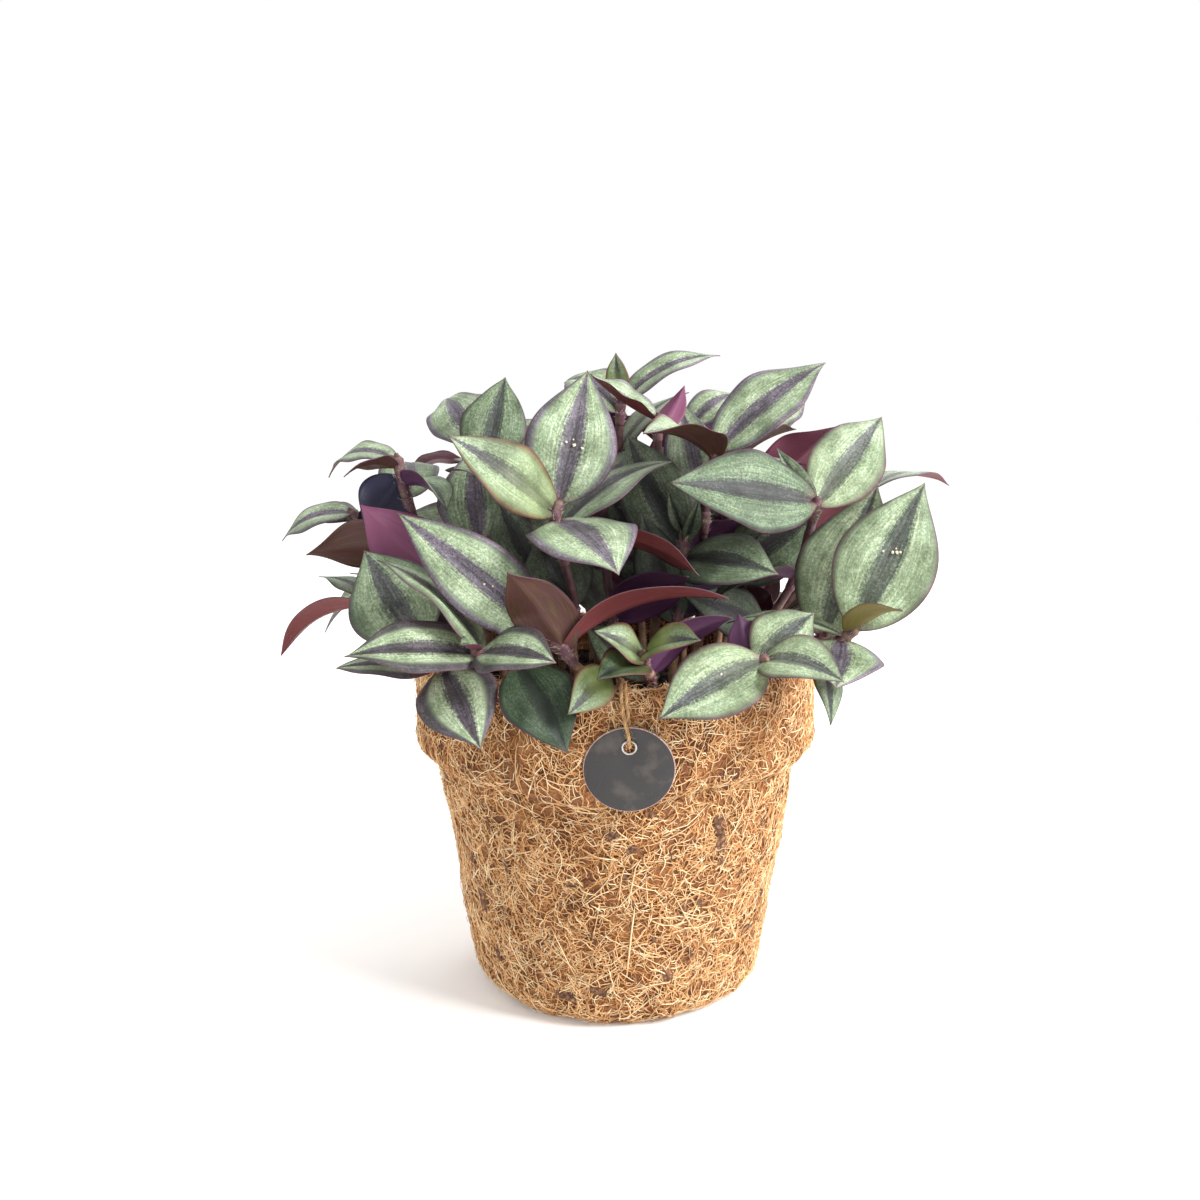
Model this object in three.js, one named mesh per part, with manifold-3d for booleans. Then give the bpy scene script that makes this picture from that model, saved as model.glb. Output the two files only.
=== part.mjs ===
// A potted tradescantia: leafy stems standing in soil, in a pot of pressed coir, with a round
// tag that hangs over the rim on a loop of twine.
// Millimetres, +Z up. The origin is the middle of the pot's flat base. -Y is the front, with the tag.
import * as THREE from "three";
import { mergeVertices } from "three/addons/utils/BufferGeometryUtils.js";
import Module from "manifold-3d";

const wasm = await Module();
wasm.setup();

// Driving dimensions
const RIM_RADIUS = 75;
const POT_HEIGHT = 128;
const COLLAR_BOTTOM = 91;
const BODY_TOP_RADIUS = 67.6;
const BODY_FOOT_RADIUS = 54.6;
const FOOT_ROUND = 11.7;
const COLLAR_ROUND = 7.4;
const RIM_ROUND = 3.6;
const WALL = 6;
const MOUTH_RADIUS = 66.5;
const MOUTH_BEVEL = 1;
const MOUTH_BEVEL_DEPTH = 3;
const COLLAR_TUCK = 1.5;
const POT_SIDES = 32;

const SOIL_LEVEL = 114;
const SOIL_CROWN = 3;
const SOIL_EDGE_RADIUS = 64.4;
const ROOT_DEPTH = 12;
const GAP = 0.3;

const STEM_RADIUS = 1.7;
const STEM_SIDES = 5;
const BLADE_THICKNESS = 0.8;
const NECK_SHARE = 0.11;
const NECK_OUT = 0.3;
const NODE_STEP = 3;
const STEM_END = 2.5;
const BROAD_LEAF_WIDTH = 27.5;
const CURL = 0.25;
const BROAD_STATIONS = [0.16, 0.42, 0.74];
const STATIONS = [0.2, 0.52];

// How near a blade may come to another, and the bends tried to keep it clear, in degrees
const OUTER_START = 0.07;
const OUTER_STATIONS = [0.18, 0.42, 0.74];
const CLEAR_THICKNESS = 2.4;
const CLEAR_MARGIN = 0.5;
const CLEAR_OWN_THICKNESS = 1.2;
const TOUCH_VOLUME = 1e-4;
const BENDS = [
  [0, 0], [6, 0], [-6, 0], [0, 7], [0, -7], [12, 0], [-12, 0], [10, 8], [-10, -8],
  [18, 0], [-18, 0], [0, 14], [0, -14], [25, 0], [-25, 0], [20, 14], [20, -14], [-20, 14],
  [-20, -14], [32, 8], [-32, -8], [0, 24], [0, -24], [40, 0], [-40, 0],
];

// Spare leaves: where they start, how many are tried at a node, the ranges of their draws, the reach
// past which they don't hang low, and the dome that they stay under
const SPARE_FROM = 140;
const SPARES_IN_FRONT = 1;
const SPARES_BEHIND = 2;
const SPARE_FRONT = -12;
const SPARE_TURN_IN_FRONT = 70;
const SPARE_TURN_BEHIND = 80;
const SPARE_CLIMB = [-10, 28];
const SPARE_LENGTH = [36, 48];
const SPARE_WIDTH_SHARE = [0.5, 0.58];
const SPARE_ARCH = 0.1;
const SPARE_FOLD = 0.3;
const SPARE_TILT = 0.3;
const SPARE_LOW = 150;
const SPARE_REACH = 100;
const DOME_TOP = 228;
const DOME_FALL = 0.0045;

// Inner leaves: the nodes that they grow from, how many are tried at each, and the ranges of their
// lean to either side, their push to the front or outwards, and their length, and how far they
// stay below the dome
const INNER_FROM = 126;
const INNER_RADIUS = 58;
const INNER_FRONT = -46;
const INNER_TRIES = 3;
const INNER_LEAN = [-80, 80];
const INNER_PUSH = [-0.25, 0.3];
const INNER_LENGTH = [30, 44];
const INNER_TILT = 0.45;
const INNER_DROP = 20;

const TAG_RADIUS = 15;
const TAG_THICKNESS = 1;
const TAG_CENTRE = [4.3, -76.36, 102.5];
const TAG_LEAN = 9;
const EYELET_RISE = 8;
const EYELET_RADIUS = 2.6;
const EYELET_BORE = 1.85;
const EYELET_WALL = 0.25;
const EYELET_LIP = 0.35;
const EYELET_PLAY = 0.12;
const TAG_CURVE_STEPS = 14;
const EYELET_SIDES = 12;
const TWINE_RADIUS = 0.6;
const TWINE_STEPS = 30;
const TWINE_SIDES = 8;

const toRadians = THREE.MathUtils.degToRad;
const group = new THREE.Group();

// Joining and cutting
function solidOf(geometry) {
  const bare = new THREE.BufferGeometry();
  bare.setAttribute("position", geometry.getAttribute("position"));
  if (geometry.index) bare.setIndex(geometry.index);
  const merged = mergeVertices(bare, 1e-4);
  return new wasm.Manifold(
    new wasm.Mesh({
      numProp: 3,
      vertProperties: new Float32Array(merged.attributes.position.array),
      triVerts: new Uint32Array(merged.index.array),
    }),
  );
}

function geometryOf(solid) {
  const mesh = solid.getMesh();
  const geometry = new THREE.BufferGeometry();
  geometry.setAttribute("position", new THREE.BufferAttribute(mesh.vertProperties, 3));
  geometry.setIndex(new THREE.BufferAttribute(mesh.triVerts, 1));
  return geometry;
}

function addPiece(name, geometry, colour, roughness, metalness = 0) {
  const material = new THREE.MeshStandardMaterial({ color: colour, roughness, metalness });
  const mesh = new THREE.Mesh(geometry, material);
  mesh.name = name;
  group.add(mesh);
  return mesh;
}

// Random draws come from one seeded row, so the plant is the same each time.
const SEED_STEP = 16807;
const SEED_RANGE = 2147483647;
let seed = 11;
function draw(low, high) {
  seed = (seed * SEED_STEP) % SEED_RANGE;
  return low + ((high - low) * seed) / SEED_RANGE;
}

// Pot: one shell of pressed coir, with a thicker collar that stands proud of the tapered body.
function arcPoints(cx, cy, radius, from, to, steps) {
  return Array.from({ length: steps + 1 }, (_, i) => {
    const angle = toRadians(from + ((to - from) * i) / steps);
    return new THREE.Vector2(cx + radius * Math.cos(angle), cy + radius * Math.sin(angle));
  });
}

function lathe(profile, sides) {
  const geometry = new THREE.LatheGeometry(profile, sides);
  geometry.rotateX(Math.PI / 2);
  return geometry;
}

const innerFootRadius = BODY_FOOT_RADIUS - WALL;
const potProfile = [
  new THREE.Vector2(0, 0),
  ...arcPoints(BODY_FOOT_RADIUS - FOOT_ROUND, FOOT_ROUND, FOOT_ROUND, -90, 0, 3),
  new THREE.Vector2(BODY_TOP_RADIUS, COLLAR_BOTTOM - COLLAR_TUCK),
  ...arcPoints(RIM_RADIUS - COLLAR_ROUND, COLLAR_BOTTOM + COLLAR_ROUND, COLLAR_ROUND, -70, 0, 2),
  ...arcPoints(RIM_RADIUS - RIM_ROUND, POT_HEIGHT - RIM_ROUND, RIM_ROUND, 0, 90, 2),
  new THREE.Vector2(MOUTH_RADIUS + MOUTH_BEVEL, POT_HEIGHT - MOUTH_BEVEL / 2),
  new THREE.Vector2(MOUTH_RADIUS, POT_HEIGHT - MOUTH_BEVEL_DEPTH),
  new THREE.Vector2(BODY_TOP_RADIUS - WALL, COLLAR_BOTTOM),
  new THREE.Vector2(innerFootRadius, FOOT_ROUND),
  new THREE.Vector2(innerFootRadius - WALL, WALL),
  new THREE.Vector2(0, WALL),
];
const potGeometry = lathe(potProfile, POT_SIDES);
addPiece("coir_pot", potGeometry, 0xc68f5b, 0.95);

// Leaves. A leaf is given by the point on its stem that it grows from, its tip, the way its upper
// side faces, its width, the rise of its midrib as a share of its length, and the fold of its halves.
function leafFrame(leaf) {
  const base = new THREE.Vector3(...leaf.base);
  const tip = new THREE.Vector3(...leaf.tip);
  const along = tip.clone().sub(base);
  const length = along.length();
  along.normalize();
  const face = new THREE.Vector3(...leaf.face);
  face.addScaledVector(along, -face.dot(along)).normalize();
  const side = new THREE.Vector3().crossVectors(along, face);
  return { base, along, face, side, length };
}

// Half the width at t, 0 at the base and 1 at the tip: broadest below the middle, with a pointed tip.
function halfWidth(t, width) {
  const blade = Math.pow(Math.max(Math.sin(Math.PI * Math.pow(t, 0.8)), 0), 0.75 + 0.4 * t);
  const neck = NECK_SHARE * Math.pow(1 - t, 6);
  return (width / 2) * Math.max(blade, neck);
}

// A point of the blade: t along it, q across it from -1 to 1, lifted off its middle surface.
function bladePoint(leaf, frame, t, q, lift, margin) {
  const slope = Math.atan(4 * leaf.arch * (1 - 2 * t));
  const up = frame.face.clone().multiplyScalar(Math.cos(slope));
  up.addScaledVector(frame.along, -Math.sin(slope));
  const half = halfWidth(t, leaf.width);
  const rise = half * (leaf.fold * Math.abs(q) - CURL * q * q) + lift;
  return frame.base
    .clone()
    .addScaledVector(frame.along, frame.length * t)
    .addScaledVector(frame.face, leaf.arch * frame.length * 4 * t * (1 - t))
    .addScaledVector(frame.side, q * (half + margin))
    .addScaledVector(up, rise);
}

// The closed sheet of a blade, from its base point to its tip, split alike above and below.
function bladeGeometry(leaf, stations, thickness, margin = 0, start = 0) {
  const frame = leafFrame(leaf);
  const rows = stations.length;
  const points = [];
  for (const lift of [thickness / 2, -thickness / 2]) {
    points.push(bladePoint(leaf, frame, start, 0, lift, 0));
    for (const t of stations) {
      for (const q of [-1, 0, 1]) points.push(bladePoint(leaf, frame, t, q, lift, margin));
    }
    points.push(bladePoint(leaf, frame, 1, 0, lift, 0));
  }
  const under = 3 * rows + 2;
  const tip = under - 1;
  const index = [];
  const sheet = (a, b, c) => index.push(a, b, c, under + a, under + c, under + b);
  const edge = (a, b) => index.push(a, b, under + b, a, under + b, under + a);
  sheet(0, 2, 1);
  sheet(0, 3, 2);
  edge(0, 1);
  edge(3, 0);
  for (let a = 1; a < 3 * rows - 2; a += 3) {
    for (const k of [a, a + 1]) {
      sheet(k, k + 1, k + 3);
      sheet(k + 1, k + 4, k + 3);
    }
    edge(a, a + 3);
    edge(a + 5, a + 2);
  }
  sheet(tip - 3, tip - 2, tip);
  sheet(tip - 2, tip - 1, tip);
  edge(tip - 3, tip);
  edge(tip, tip - 1);
  const geometry = new THREE.BufferGeometry().setFromPoints(points);
  geometry.setIndex(index);
  return geometry;
}

// Stems. Each shoot has its root on the soil, a path of nodes up its stem, and leaves. A leaf row
// holds the number of its node, its tip, the way its upper side faces, its width, arch and fold.
const FRONT_SHOOTS = [
  { name: "stem_01", root: [-14, -34],
    path: [[-15, -42, 140], [-14, -46, 150], [-18, -50, 170], [-20, -51, 183], [-19, -50, 186]],
    leaves: [
      [3, [-54, -62, 209], [-0.3, -0.7, 0.7], 23, 0.06, 0.4],
      [4, [-9, -42, 231], [0.1, -1, 0.2], 31, 0.03, 0.3],
      [3, [1, -92, 168], [0.1, -0.5, 0.85], 36, 0.08, 0.25],
      [1, [-27, -38, 175], [-0.1, -0.9, 0.4], 25, 0.04, 0.3],
    ] },
  { name: "stem_02", root: [-38, -18],
    path: [[-41, -18, 150], [-45, -18, 178], [-47, -16, 195], [-50, -12, 204]],
    leaves: [
      [2, [-40, -4, 228], [0, -0.9, 0.4], 24, 0.05, 0.35],
      [3, [-65, 24, 220], [-0.2, -0.7, 0.6], 24, 0.1, 0.35],
      [2, [-29, -6, 220], [-0.4, -0.85, 0.4], 23, 0.05, 0.4],
      [0, [-10, -24, 150], [0.1, -0.8, 0.6], 18, 0.1, 0.3],
    ] },
  { name: "stem_03", root: [0, 6],
    path: [[0, 8, 160], [1, 8, 200], [2, 6, 221]],
    leaves: [
      [2, [0, 4, 237], [-0.3, -1, 0.2], 9, 0.02, 0.6],
      [2, [39, 12, 236], [0.1, -0.35, 0.9], 18, 0.13, 0.4],
      [2, [-20, 27, 226], [-0.2, -0.5, 0.85], 20, 0.22, 0.3],
    ] },
  { name: "stem_04", root: [14, -14],
    path: [[15, -14, 160], [15, -14, 195], [15, -14, 213]],
    leaves: [
      [2, [-9, -16, 229], [0, -0.2, 1], 20, -0.05, 0.7],
      [2, [25, -3, 225], [0.6, 0.9, 0.3], 10, 0.05, 0.6],
    ] },
  { name: "stem_05", root: [30, -14],
    path: [[31, -14, 150], [32, -18, 180], [34, -20, 193], [35, -23, 202]],
    leaves: [
      [3, [75, -10, 233], [-0.4, -0.75, 0.6], 27, 0.06, 0.4],
      [3, [9, -46, 209], [0.1, -0.1, 1], 24, 0.1, 0.7],
      [3, [38, -16, 214], [0.3, -0.9, 0.3], 8, 0.03, 0.9],
      [1, [23, 2, 220], [0.1, -0.95, 0.3], 22, 0.04, 0.35],
      [0, [52, -24, 174], [0, -0.9, 0.4], 20, 0.05, 0.3],
    ] },
  { name: "stem_06", root: [38, 0],
    path: [[40, -2, 155], [42, -5, 185], [43, -4, 197], [50, 8, 205]],
    leaves: [
      [2, [67, 4, 209], [0, 0, 1], 24, 0.08, 0.7],
      [3, [74, 28, 220], [-0.2, -0.6, 0.8], 18, 0.05, 0.3],
      [0, [76, -6, 180], [0.1, -0.9, 0.4], 27, 0.06, 0.3],
    ] },
  { name: "stem_07", root: [50, -14],
    path: [[54, -20, 138], [64, -22, 157], [68, -26, 173], [68, -41, 186]],
    leaves: [
      [3, [17, -64, 194], [-0.1, -0.9, 0.45], 29, 0.04, 0.3],
      [3, [94, -18, 214], [0.1, -0.85, 0.5], 26, 0.05, 0.35],
      [3, [56, -44, 204], [0, -0.9, 0.4], 8, 0.03, 0.9],
      [1, [32, -56, 153], [0, 0.45, 0.85], 20, 0.1, 0.3],
    ] },
  { name: "stem_08", root: [20, -28],
    path: [[22, -30, 145], [23, -31, 158], [24, -31, 174]],
    leaves: [
      [2, [18, -34, 189], [-0.2, -0.9, 0.3], 6, 0.03, 0.9],
      [2, [28, -33, 189], [0.2, -0.9, 0.3], 6, 0.03, 0.9],
      [2, [4, -12, 208], [-0.4, -0.85, 0.3], 26, 0.05, 0.35],
      [2, [54, -55, 163], [0.1, -0.75, 0.65], 27, 0.07, 0.3],
    ] },
  { name: "stem_09", root: [2, -38],
    path: [[-1, -43, 145], [-3, -47, 165], [-1, -48, 175]],
    leaves: [
      [2, [27, -66, 164], [0.3, 0.5, 0.8], 20, 0.08, 0.3],
      [0, [24, -56, 165], [0, 0.8, 0.6], 22, 0.08, 0.3],
    ] },
  { name: "stem_10", root: [48, 0],
    path: [[62, 0, 140], [78, -2, 165], [88, -4, 182], [92, -4, 186]],
    leaves: [
      [3, [125, 6, 188], [0, 0.05, 1], 22, 0.17, 0.3],
    ] },
  { name: "stem_11", root: [41, -32],
    path: [[48, -38, 129], [57, -46, 133], [68, -54, 137], [76, -57, 142], [79, -58, 145]],
    leaves: [
      [4, [103, -48, 193], [-0.1, -1, 0.15], 34, 0.03, 0.25],
      [4, [90, -80, 155], [0.3, -0.2, 0.9], 14, 0.1, 0.6],
      [4, [69, -84, 131], [0, -0.75, 0.65], 29, 0.05, 0.3],
      [2, [69, -76, 117], [0.5, -0.85, 0.1], 13, 0.05, 0.3],
    ] },
  { name: "stem_12", root: [50, -22],
    path: [[62, -34, 133], [71, -42, 139]],
    leaves: [
      [1, [91, -30, 191], [-0.3, -0.95, 0.2], 34, 0.03, 0.3],
    ] },
  { name: "stem_13", root: [32, -42],
    path: [[37, -50, 129], [41, -59, 133], [45, -72, 137], [47, -79, 139]],
    leaves: [
      [3, [13, -96, 124], [-0.1, -0.75, 0.65], 27, 0.08, 0.3],
      [3, [67, -98, 134], [0.1, -0.7, 0.7], 22, 0.12, 0.45],
      [2, [65, -62, 150], [-0.1, -0.75, 0.6], 22, 0.06, 0.3],
      [2, [40, -66, 152], [-0.2, 0.8, 0.5], 12, 0.05, 0.5],
    ] },
  { name: "stem_16", root: [-32, -44],
    path: [[-35, -54, 131], [-40, -64, 135], [-44, -79, 142]],
    leaves: [
      [2, [-48, -89, 146], [0, -0.6, 0.8], 7, 0.05, 0.8],
      [2, [-18, -97, 142], [0.1, -0.65, 0.75], 23, 0.06, 0.4],
      [2, [-84, -88, 142], [-0.1, -0.6, 0.8], 24, 0.07, 0.4],
    ] },
  { name: "stem_15", root: [-8, -48],
    path: [[-11, -63, 131.5], [-14, -68, 136], [-17, -70, 141], [-22, -68, 145]],
    leaves: [
      [3, [-69, -72, 186], [-0.4, -0.7, 0.6], 25, 0.06, 0.35],
      [2, [37, -62, 156], [0, 0.35, 0.95], 26, 0.12, 0.5],
      [2, [-33, -92, 169], [0, 0.9, 0.4], 21, 0.06, 0.4],
    ] },
  { name: "stem_14", root: [12, -52],
    path: [[11, -66, 131.5], [9, -71, 136], [9, -75, 140]],
    leaves: [
      [2, [26, -92, 148], [0.1, -0.65, 0.75], 17, 0.08, 0.5],
      [2, [-7, -82, 149], [-0.1, -0.6, 0.8], 15, 0.06, 0.5],
      [2, [-5, -92, 138], [-0.1, -0.7, 0.7], 15, 0.08, 0.5],
      [0, [38, -64, 150], [0.05, 0.5, 0.85], 24, 0.12, 0.35],
      [0, [-13, -58, 146], [-0.2, -0.7, 0.6], 15, 0.05, 0.4],
    ] },
  { name: "stem_17", root: [-42, -38],
    path: [[-49, -49, 133.5], [-58, -66, 133.5]],
    leaves: [
      [1, [-91, -68, 134], [0, -0.3, 1], 20, 0.05, 0.3],
      [1, [-42, -90, 113], [-0.1, -0.75, 0.65], 27, 0.05, 0.3],
    ] },
  { name: "stem_18", root: [-22, -50],
    path: [[-27, -62, 132], [-32, -70, 136]],
    leaves: [
      [1, [-15, -88, 111], [0.2, -0.9, 0.4], 25, 0.08, 0.3],
    ] },
  { name: "stem_19", root: [-48, -30],
    path: [[-55, -38, 131], [-66, -51, 139]],
    leaves: [
      [1, [-85, -46, 170], [-0.1, -0.9, 0.45], 33, 0.04, 0.3],
      [0, [-66, -20, 146], [0.1, -0.8, 0.6], 18, 0.1, 0.3],
    ] },
  { name: "stem_20", root: [-52, -8],
    path: [[-68, -12, 134], [-82, -15, 142], [-90, -16, 146]],
    leaves: [
      [2, [-123, -14, 127], [-0.1, 0.35, 0.93], 20, 0.16, 0.5],
    ] },
  { name: "stem_22", root: [-38, -30],
    path: [[-46, -38, 142], [-56, -44, 158], [-54, -43, 167]],
    leaves: [
      [1, [-87, -40, 185], [-0.2, 0.9, -0.3], 26, 0.08, 0.3],
    ] },
  { name: "stem_21", root: [-46, -14],
    path: [[-56, -18, 145], [-66, -20, 165], [-74, -21, 185], [-77, -21, 199]],
    leaves: [
      [3, [-104, -10, 192], [-0.1, -0.35, 0.95], 17, 0.22, 0.3],
      [3, [-94, -34, 196], [0, 0.4, 0.9], 15, 0.15, 0.3],
      [3, [-88, -29, 176], [0.2, 0.95, 0.3], 20, 0.08, 0.3],
      [3, [-57, -44, 183], [0.4, -0.1, 0.9], 16, 0.12, 0.8],
      [1, [-113, -12, 164], [0.1, 0.8, 0.6], 27, 0.1, 0.3],
    ] },
  { name: "stem_23", root: [-50, 6],
    path: [[-66, 3, 140], [-84, 2, 162], [-98, 2, 178]],
    leaves: [
      [2, [-126, 6, 167], [-0.2, -0.4, 0.9], 20, 0.15, 0.3],
      [2, [-120, 16, 176], [-0.2, -0.4, 0.9], 14, 0.12, 0.3],
      [2, [-87, -10, 186], [0, -0.6, 0.8], 13, 0.08, 0.4],
    ] },
  { name: "stem_24", root: [-24, 2],
    path: [[-24, 6, 160], [-23, 5, 201]],
    leaves: [
      [1, [-19, 8, 225], [0.9, 0.5, 0.2], 16, 0.05, 0.5],
    ] },
  { name: "stem_25", root: [26, 14],
    path: [[27, 14, 165], [28, 14, 210]],
    leaves: [
      [1, [48, 28, 222], [0, -0.5, 0.9], 18, 0.12, 0.3],
    ] },
  { name: "stem_26", root: [-3, -50],
    path: [[-3, -66, 131.5], [-3, -73, 134.5]],
    leaves: [
      [1, [-15, -90, 124], [0.5, -0.7, 0.5], 14, 0.06, 0.5],
    ] },
  { name: "stem_27", root: [-24, -30],
    path: [[-25, -33, 145], [-27, -34, 161]],
    leaves: [
      [1, [-41, -28, 185], [-0.3, -0.85, 0.4], 22, 0.04, 0.3],
    ] },
  { name: "stem_28", root: [-30, -18],
    path: [[-42, -26, 150], [-48, -28, 171]],
    leaves: [
      [1, [-51, -22, 204], [-0.1, -0.95, 0.3], 28, 0.04, 0.3],
    ] },
];

// Crown shoots behind the middle, by azimuth in degrees, radius and height of the top node
const CROWN_SHOOTS = [
  [100, 36, 208], [150, 40, 203], [62, 52, 200], [205, 28, 207], [130, 18, 208], [250, 15, 190],
];
const CROWN_ROOT_SHARE = 0.6;
const CROWN_NODE_SHARES = [0.7, 0.85, 1];
const CROWN_NODE_RISE = 22;

function spread(shoot) {
  const leaves = shoot.leaves.map(([node, tip, face, width, arch, fold]) => ({
    node, tip, face, width, arch, fold,
  }));
  return { name: shoot.name, root: shoot.root, path: shoot.path, leaves };
}

// The back of the plant grows as the front does: chosen front shoots stand again behind the
// middle, mirrored, each turned about the pot's axis by its own angle and scaled by a draw.
const BACK_SHOOTS = [
  ["stem_01", -8], ["stem_05", 18], ["stem_07", 6], ["stem_08", 30], ["stem_11", -4],
  ["stem_12", -12], ["stem_13", 0], ["stem_14", 0], ["stem_16", 0], ["stem_15", 0],
  ["stem_17", 4], ["stem_19", 8], ["stem_20", -8], ["stem_21", -20], ["stem_22", -15],
  ["stem_28", -40],
];

const BACK_TURN = 3;
const BACK_SCALE = [0.92, 1];

function mirrored(shoot, turning, number) {
  const angle = toRadians(turning + draw(-BACK_TURN, BACK_TURN));
  const scale = draw(...BACK_SCALE);
  const place = ([x, y, z]) => [
    scale * (x * Math.cos(angle) + y * Math.sin(angle)),
    scale * (x * Math.sin(angle) - y * Math.cos(angle)),
    SOIL_LEVEL + scale * (z - SOIL_LEVEL),
  ];
  const turn = ([x, y, z]) => [
    x * Math.cos(angle) + y * Math.sin(angle),
    x * Math.sin(angle) - y * Math.cos(angle),
    z,
  ];
  const leaves = shoot.leaves.map((leaf) => ({
    ...leaf,
    tip: place(leaf.tip),
    face: turn(leaf.face),
    width: scale * leaf.width,
  }));
  const root = place([shoot.root[0], shoot.root[1], SOIL_LEVEL]).slice(0, 2);
  return { name: "stem_" + number, root, path: shoot.path.map(place), leaves };
}

const front = FRONT_SHOOTS.map(spread);
const back = BACK_SHOOTS.map(([name, turning], i) =>
  mirrored(front.find((shoot) => shoot.name === name), turning, FRONT_SHOOTS.length + 1 + i),
);
const crown = CROWN_SHOOTS.map(([azimuth, radius, height], i) => {
  const across = Math.cos(toRadians(azimuth));
  const away = Math.sin(toRadians(azimuth));
  const path = CROWN_NODE_SHARES.map((share, k) => [
    radius * share * across,
    radius * share * away,
    height - CROWN_NODE_RISE * (CROWN_NODE_SHARES.length - 1 - k),
  ]);
  const root = [CROWN_ROOT_SHARE * radius * across, CROWN_ROOT_SHARE * radius * away];
  return { name: "stem_" + (front.length + back.length + 1 + i), root, path, leaves: [] };
});
const shoots = [...front, ...back, ...crown];

// A stem is a slim tube from its root in the soil to just past its last node.
function stemTube(shoot, radius) {
  const [x, y] = shoot.root;
  const nodes = shoot.path.map((point) => new THREE.Vector3(...point));
  const last = nodes[nodes.length - 1];
  const before = nodes.length > 1 ? nodes[nodes.length - 2] : new THREE.Vector3(x, y, SOIL_LEVEL);
  const end = last.clone().add(last.clone().sub(before).setLength(STEM_END));
  const bottom = new THREE.Vector3(x, y, SOIL_LEVEL - ROOT_DEPTH);
  const collar = new THREE.Vector3(x, y, SOIL_LEVEL + SOIL_CROWN);
  const points = [bottom, collar, ...nodes, end];
  const curve = new THREE.CatmullRomCurve3(points, false, "centripetal");
  // The tube's rings stand at the nodes, not at even steps.
  curve.getSpacedPoints = curve.getPoints;
  curve.getTangentAt = curve.getTangent;
  return solidOf(tube(curve, radius, STEM_SIDES, points.length - 1));
}

// What stands already, each with its box, so that a new leaf can be bent clear of it.
const standing = [];
function stand(owner, solid) {
  standing.push({ owner, solid, box: solid.boundingBox() });
}

function boxesMeet(a, b) {
  return [0, 1, 2].every((i) => a.min[i] < b.max[i] && b.min[i] < a.max[i]);
}

function touches(solid, others) {
  const box = solid.boundingBox();
  return others.some(
    (other) => boxesMeet(box, other.box) && solid.intersect(other.solid).volume() > TOUCH_VOLUME,
  );
}

// A leaf as it may bend at its base: its tip dips or lifts by one angle and swings by the other.
function bent(leaf, [dip, swing]) {
  const frame = leafFrame(leaf);
  const turn = new THREE.Quaternion().setFromAxisAngle(frame.side, toRadians(dip));
  turn.premultiply(new THREE.Quaternion().setFromAxisAngle(frame.face, toRadians(swing)));
  const tip = frame.base.clone();
  tip.add(frame.along.clone().multiplyScalar(frame.length).applyQuaternion(turn));
  const face = frame.face.clone().applyQuaternion(turn);
  return { ...leaf, tip: tip.toArray(), face: face.toArray() };
}

// Leaves of one node stand a little below each other, and start just outside the stem's middle.
function seated(leaf, shoot) {
  const node = new THREE.Vector3(...shoot.path[leaf.node]);
  const lower = leaf.node > 0 ? shoot.path[leaf.node - 1] : [...shoot.root, SOIL_LEVEL];
  const down = new THREE.Vector3(...lower).sub(node).normalize();
  const rank = shoot.taken.get(leaf.node) ?? 0;
  const outwards = new THREE.Vector3(...leaf.tip).sub(node);
  outwards.addScaledVector(down, -outwards.dot(down)).setLength(NECK_OUT);
  const base = node.addScaledVector(down, rank * NODE_STEP).add(outwards);
  return { ...leaf, base: base.toArray() };
}

// The first bend that keeps a leaf clear of every other shoot, and its blade clear of its own.
function clearLeaf(leaf, shoot) {
  const others = standing.filter((piece) => piece.owner !== shoot.name);
  const own = standing.filter((piece) => piece.owner === shoot.name && piece.blade);
  return BENDS.map((bend) => bent(leaf, bend)).find((candidate) => {
    const whole = bladeGeometry(candidate, BROAD_STATIONS, CLEAR_THICKNESS, CLEAR_MARGIN);
    if (touches(solidOf(whole), others)) return false;
    const blade = bladeGeometry(candidate, OUTER_STATIONS, CLEAR_OWN_THICKNESS, 0, OUTER_START);
    return !touches(solidOf(blade), own);
  });
}

// A round tube along a curve
function tube(curve, radius, sides, steps) {
  const section = new THREE.Shape();
  for (let i = 0; i < sides; i += 1) {
    const angle = (2 * Math.PI * i) / sides;
    if (i === 0) section.moveTo(radius * Math.cos(angle), radius * Math.sin(angle));
    else section.lineTo(radius * Math.cos(angle), radius * Math.sin(angle));
  }
  section.closePath();
  return new THREE.ExtrudeGeometry(section, { steps, extrudePath: curve, bevelEnabled: false });
}

// Twine: one length of jute whose two ends are in the soil. It goes over the rim, down in front
// of the tag, back through the eyelet and up again behind the tag.
const TWINE_ROUTE = [
  [1.0, -58.0, 108], [1.0, -60.2, 116], [1.2, -63.2, 122], [1.4, -65.6, 127], [1.5, -68.6, 129.5],
  [1.6, -72.2, 129.2], [1.7, -75.2, 127.6], [1.9, -76.4, 124.4], [2.3, -78, 121.5],
  [3, -79.8, 118.6], [3.7, -80.4, 116], [4.2, -80.2, 113.6], [4.4, -79.5, 111.6],
  [4.4, -78.4, 110.6], [4.4, -77, 110.6], [4.4, -76.2, 111.5], [4.5, -76.1, 113],
  [4.4, -76.3, 116], [4, -76.5, 120], [3.5, -76.2, 124.4], [3.2, -75, 127.7], [3.1, -72, 129.3],
  [3.1, -68.6, 129.5], [3, -65.6, 127], [2.9, -63.2, 122], [2.9, -60.2, 116], [2.9, -58.0, 108],
];
const twinePoints = TWINE_ROUTE.map((point) => new THREE.Vector3(...point));
const twineCurve = new THREE.CatmullRomCurve3(twinePoints);
const twineGeometry = tube(twineCurve, TWINE_RADIUS, TWINE_SIDES, TWINE_STEPS);
addPiece("twine", twineGeometry, 0xb98f5c, 0.95);

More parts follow.
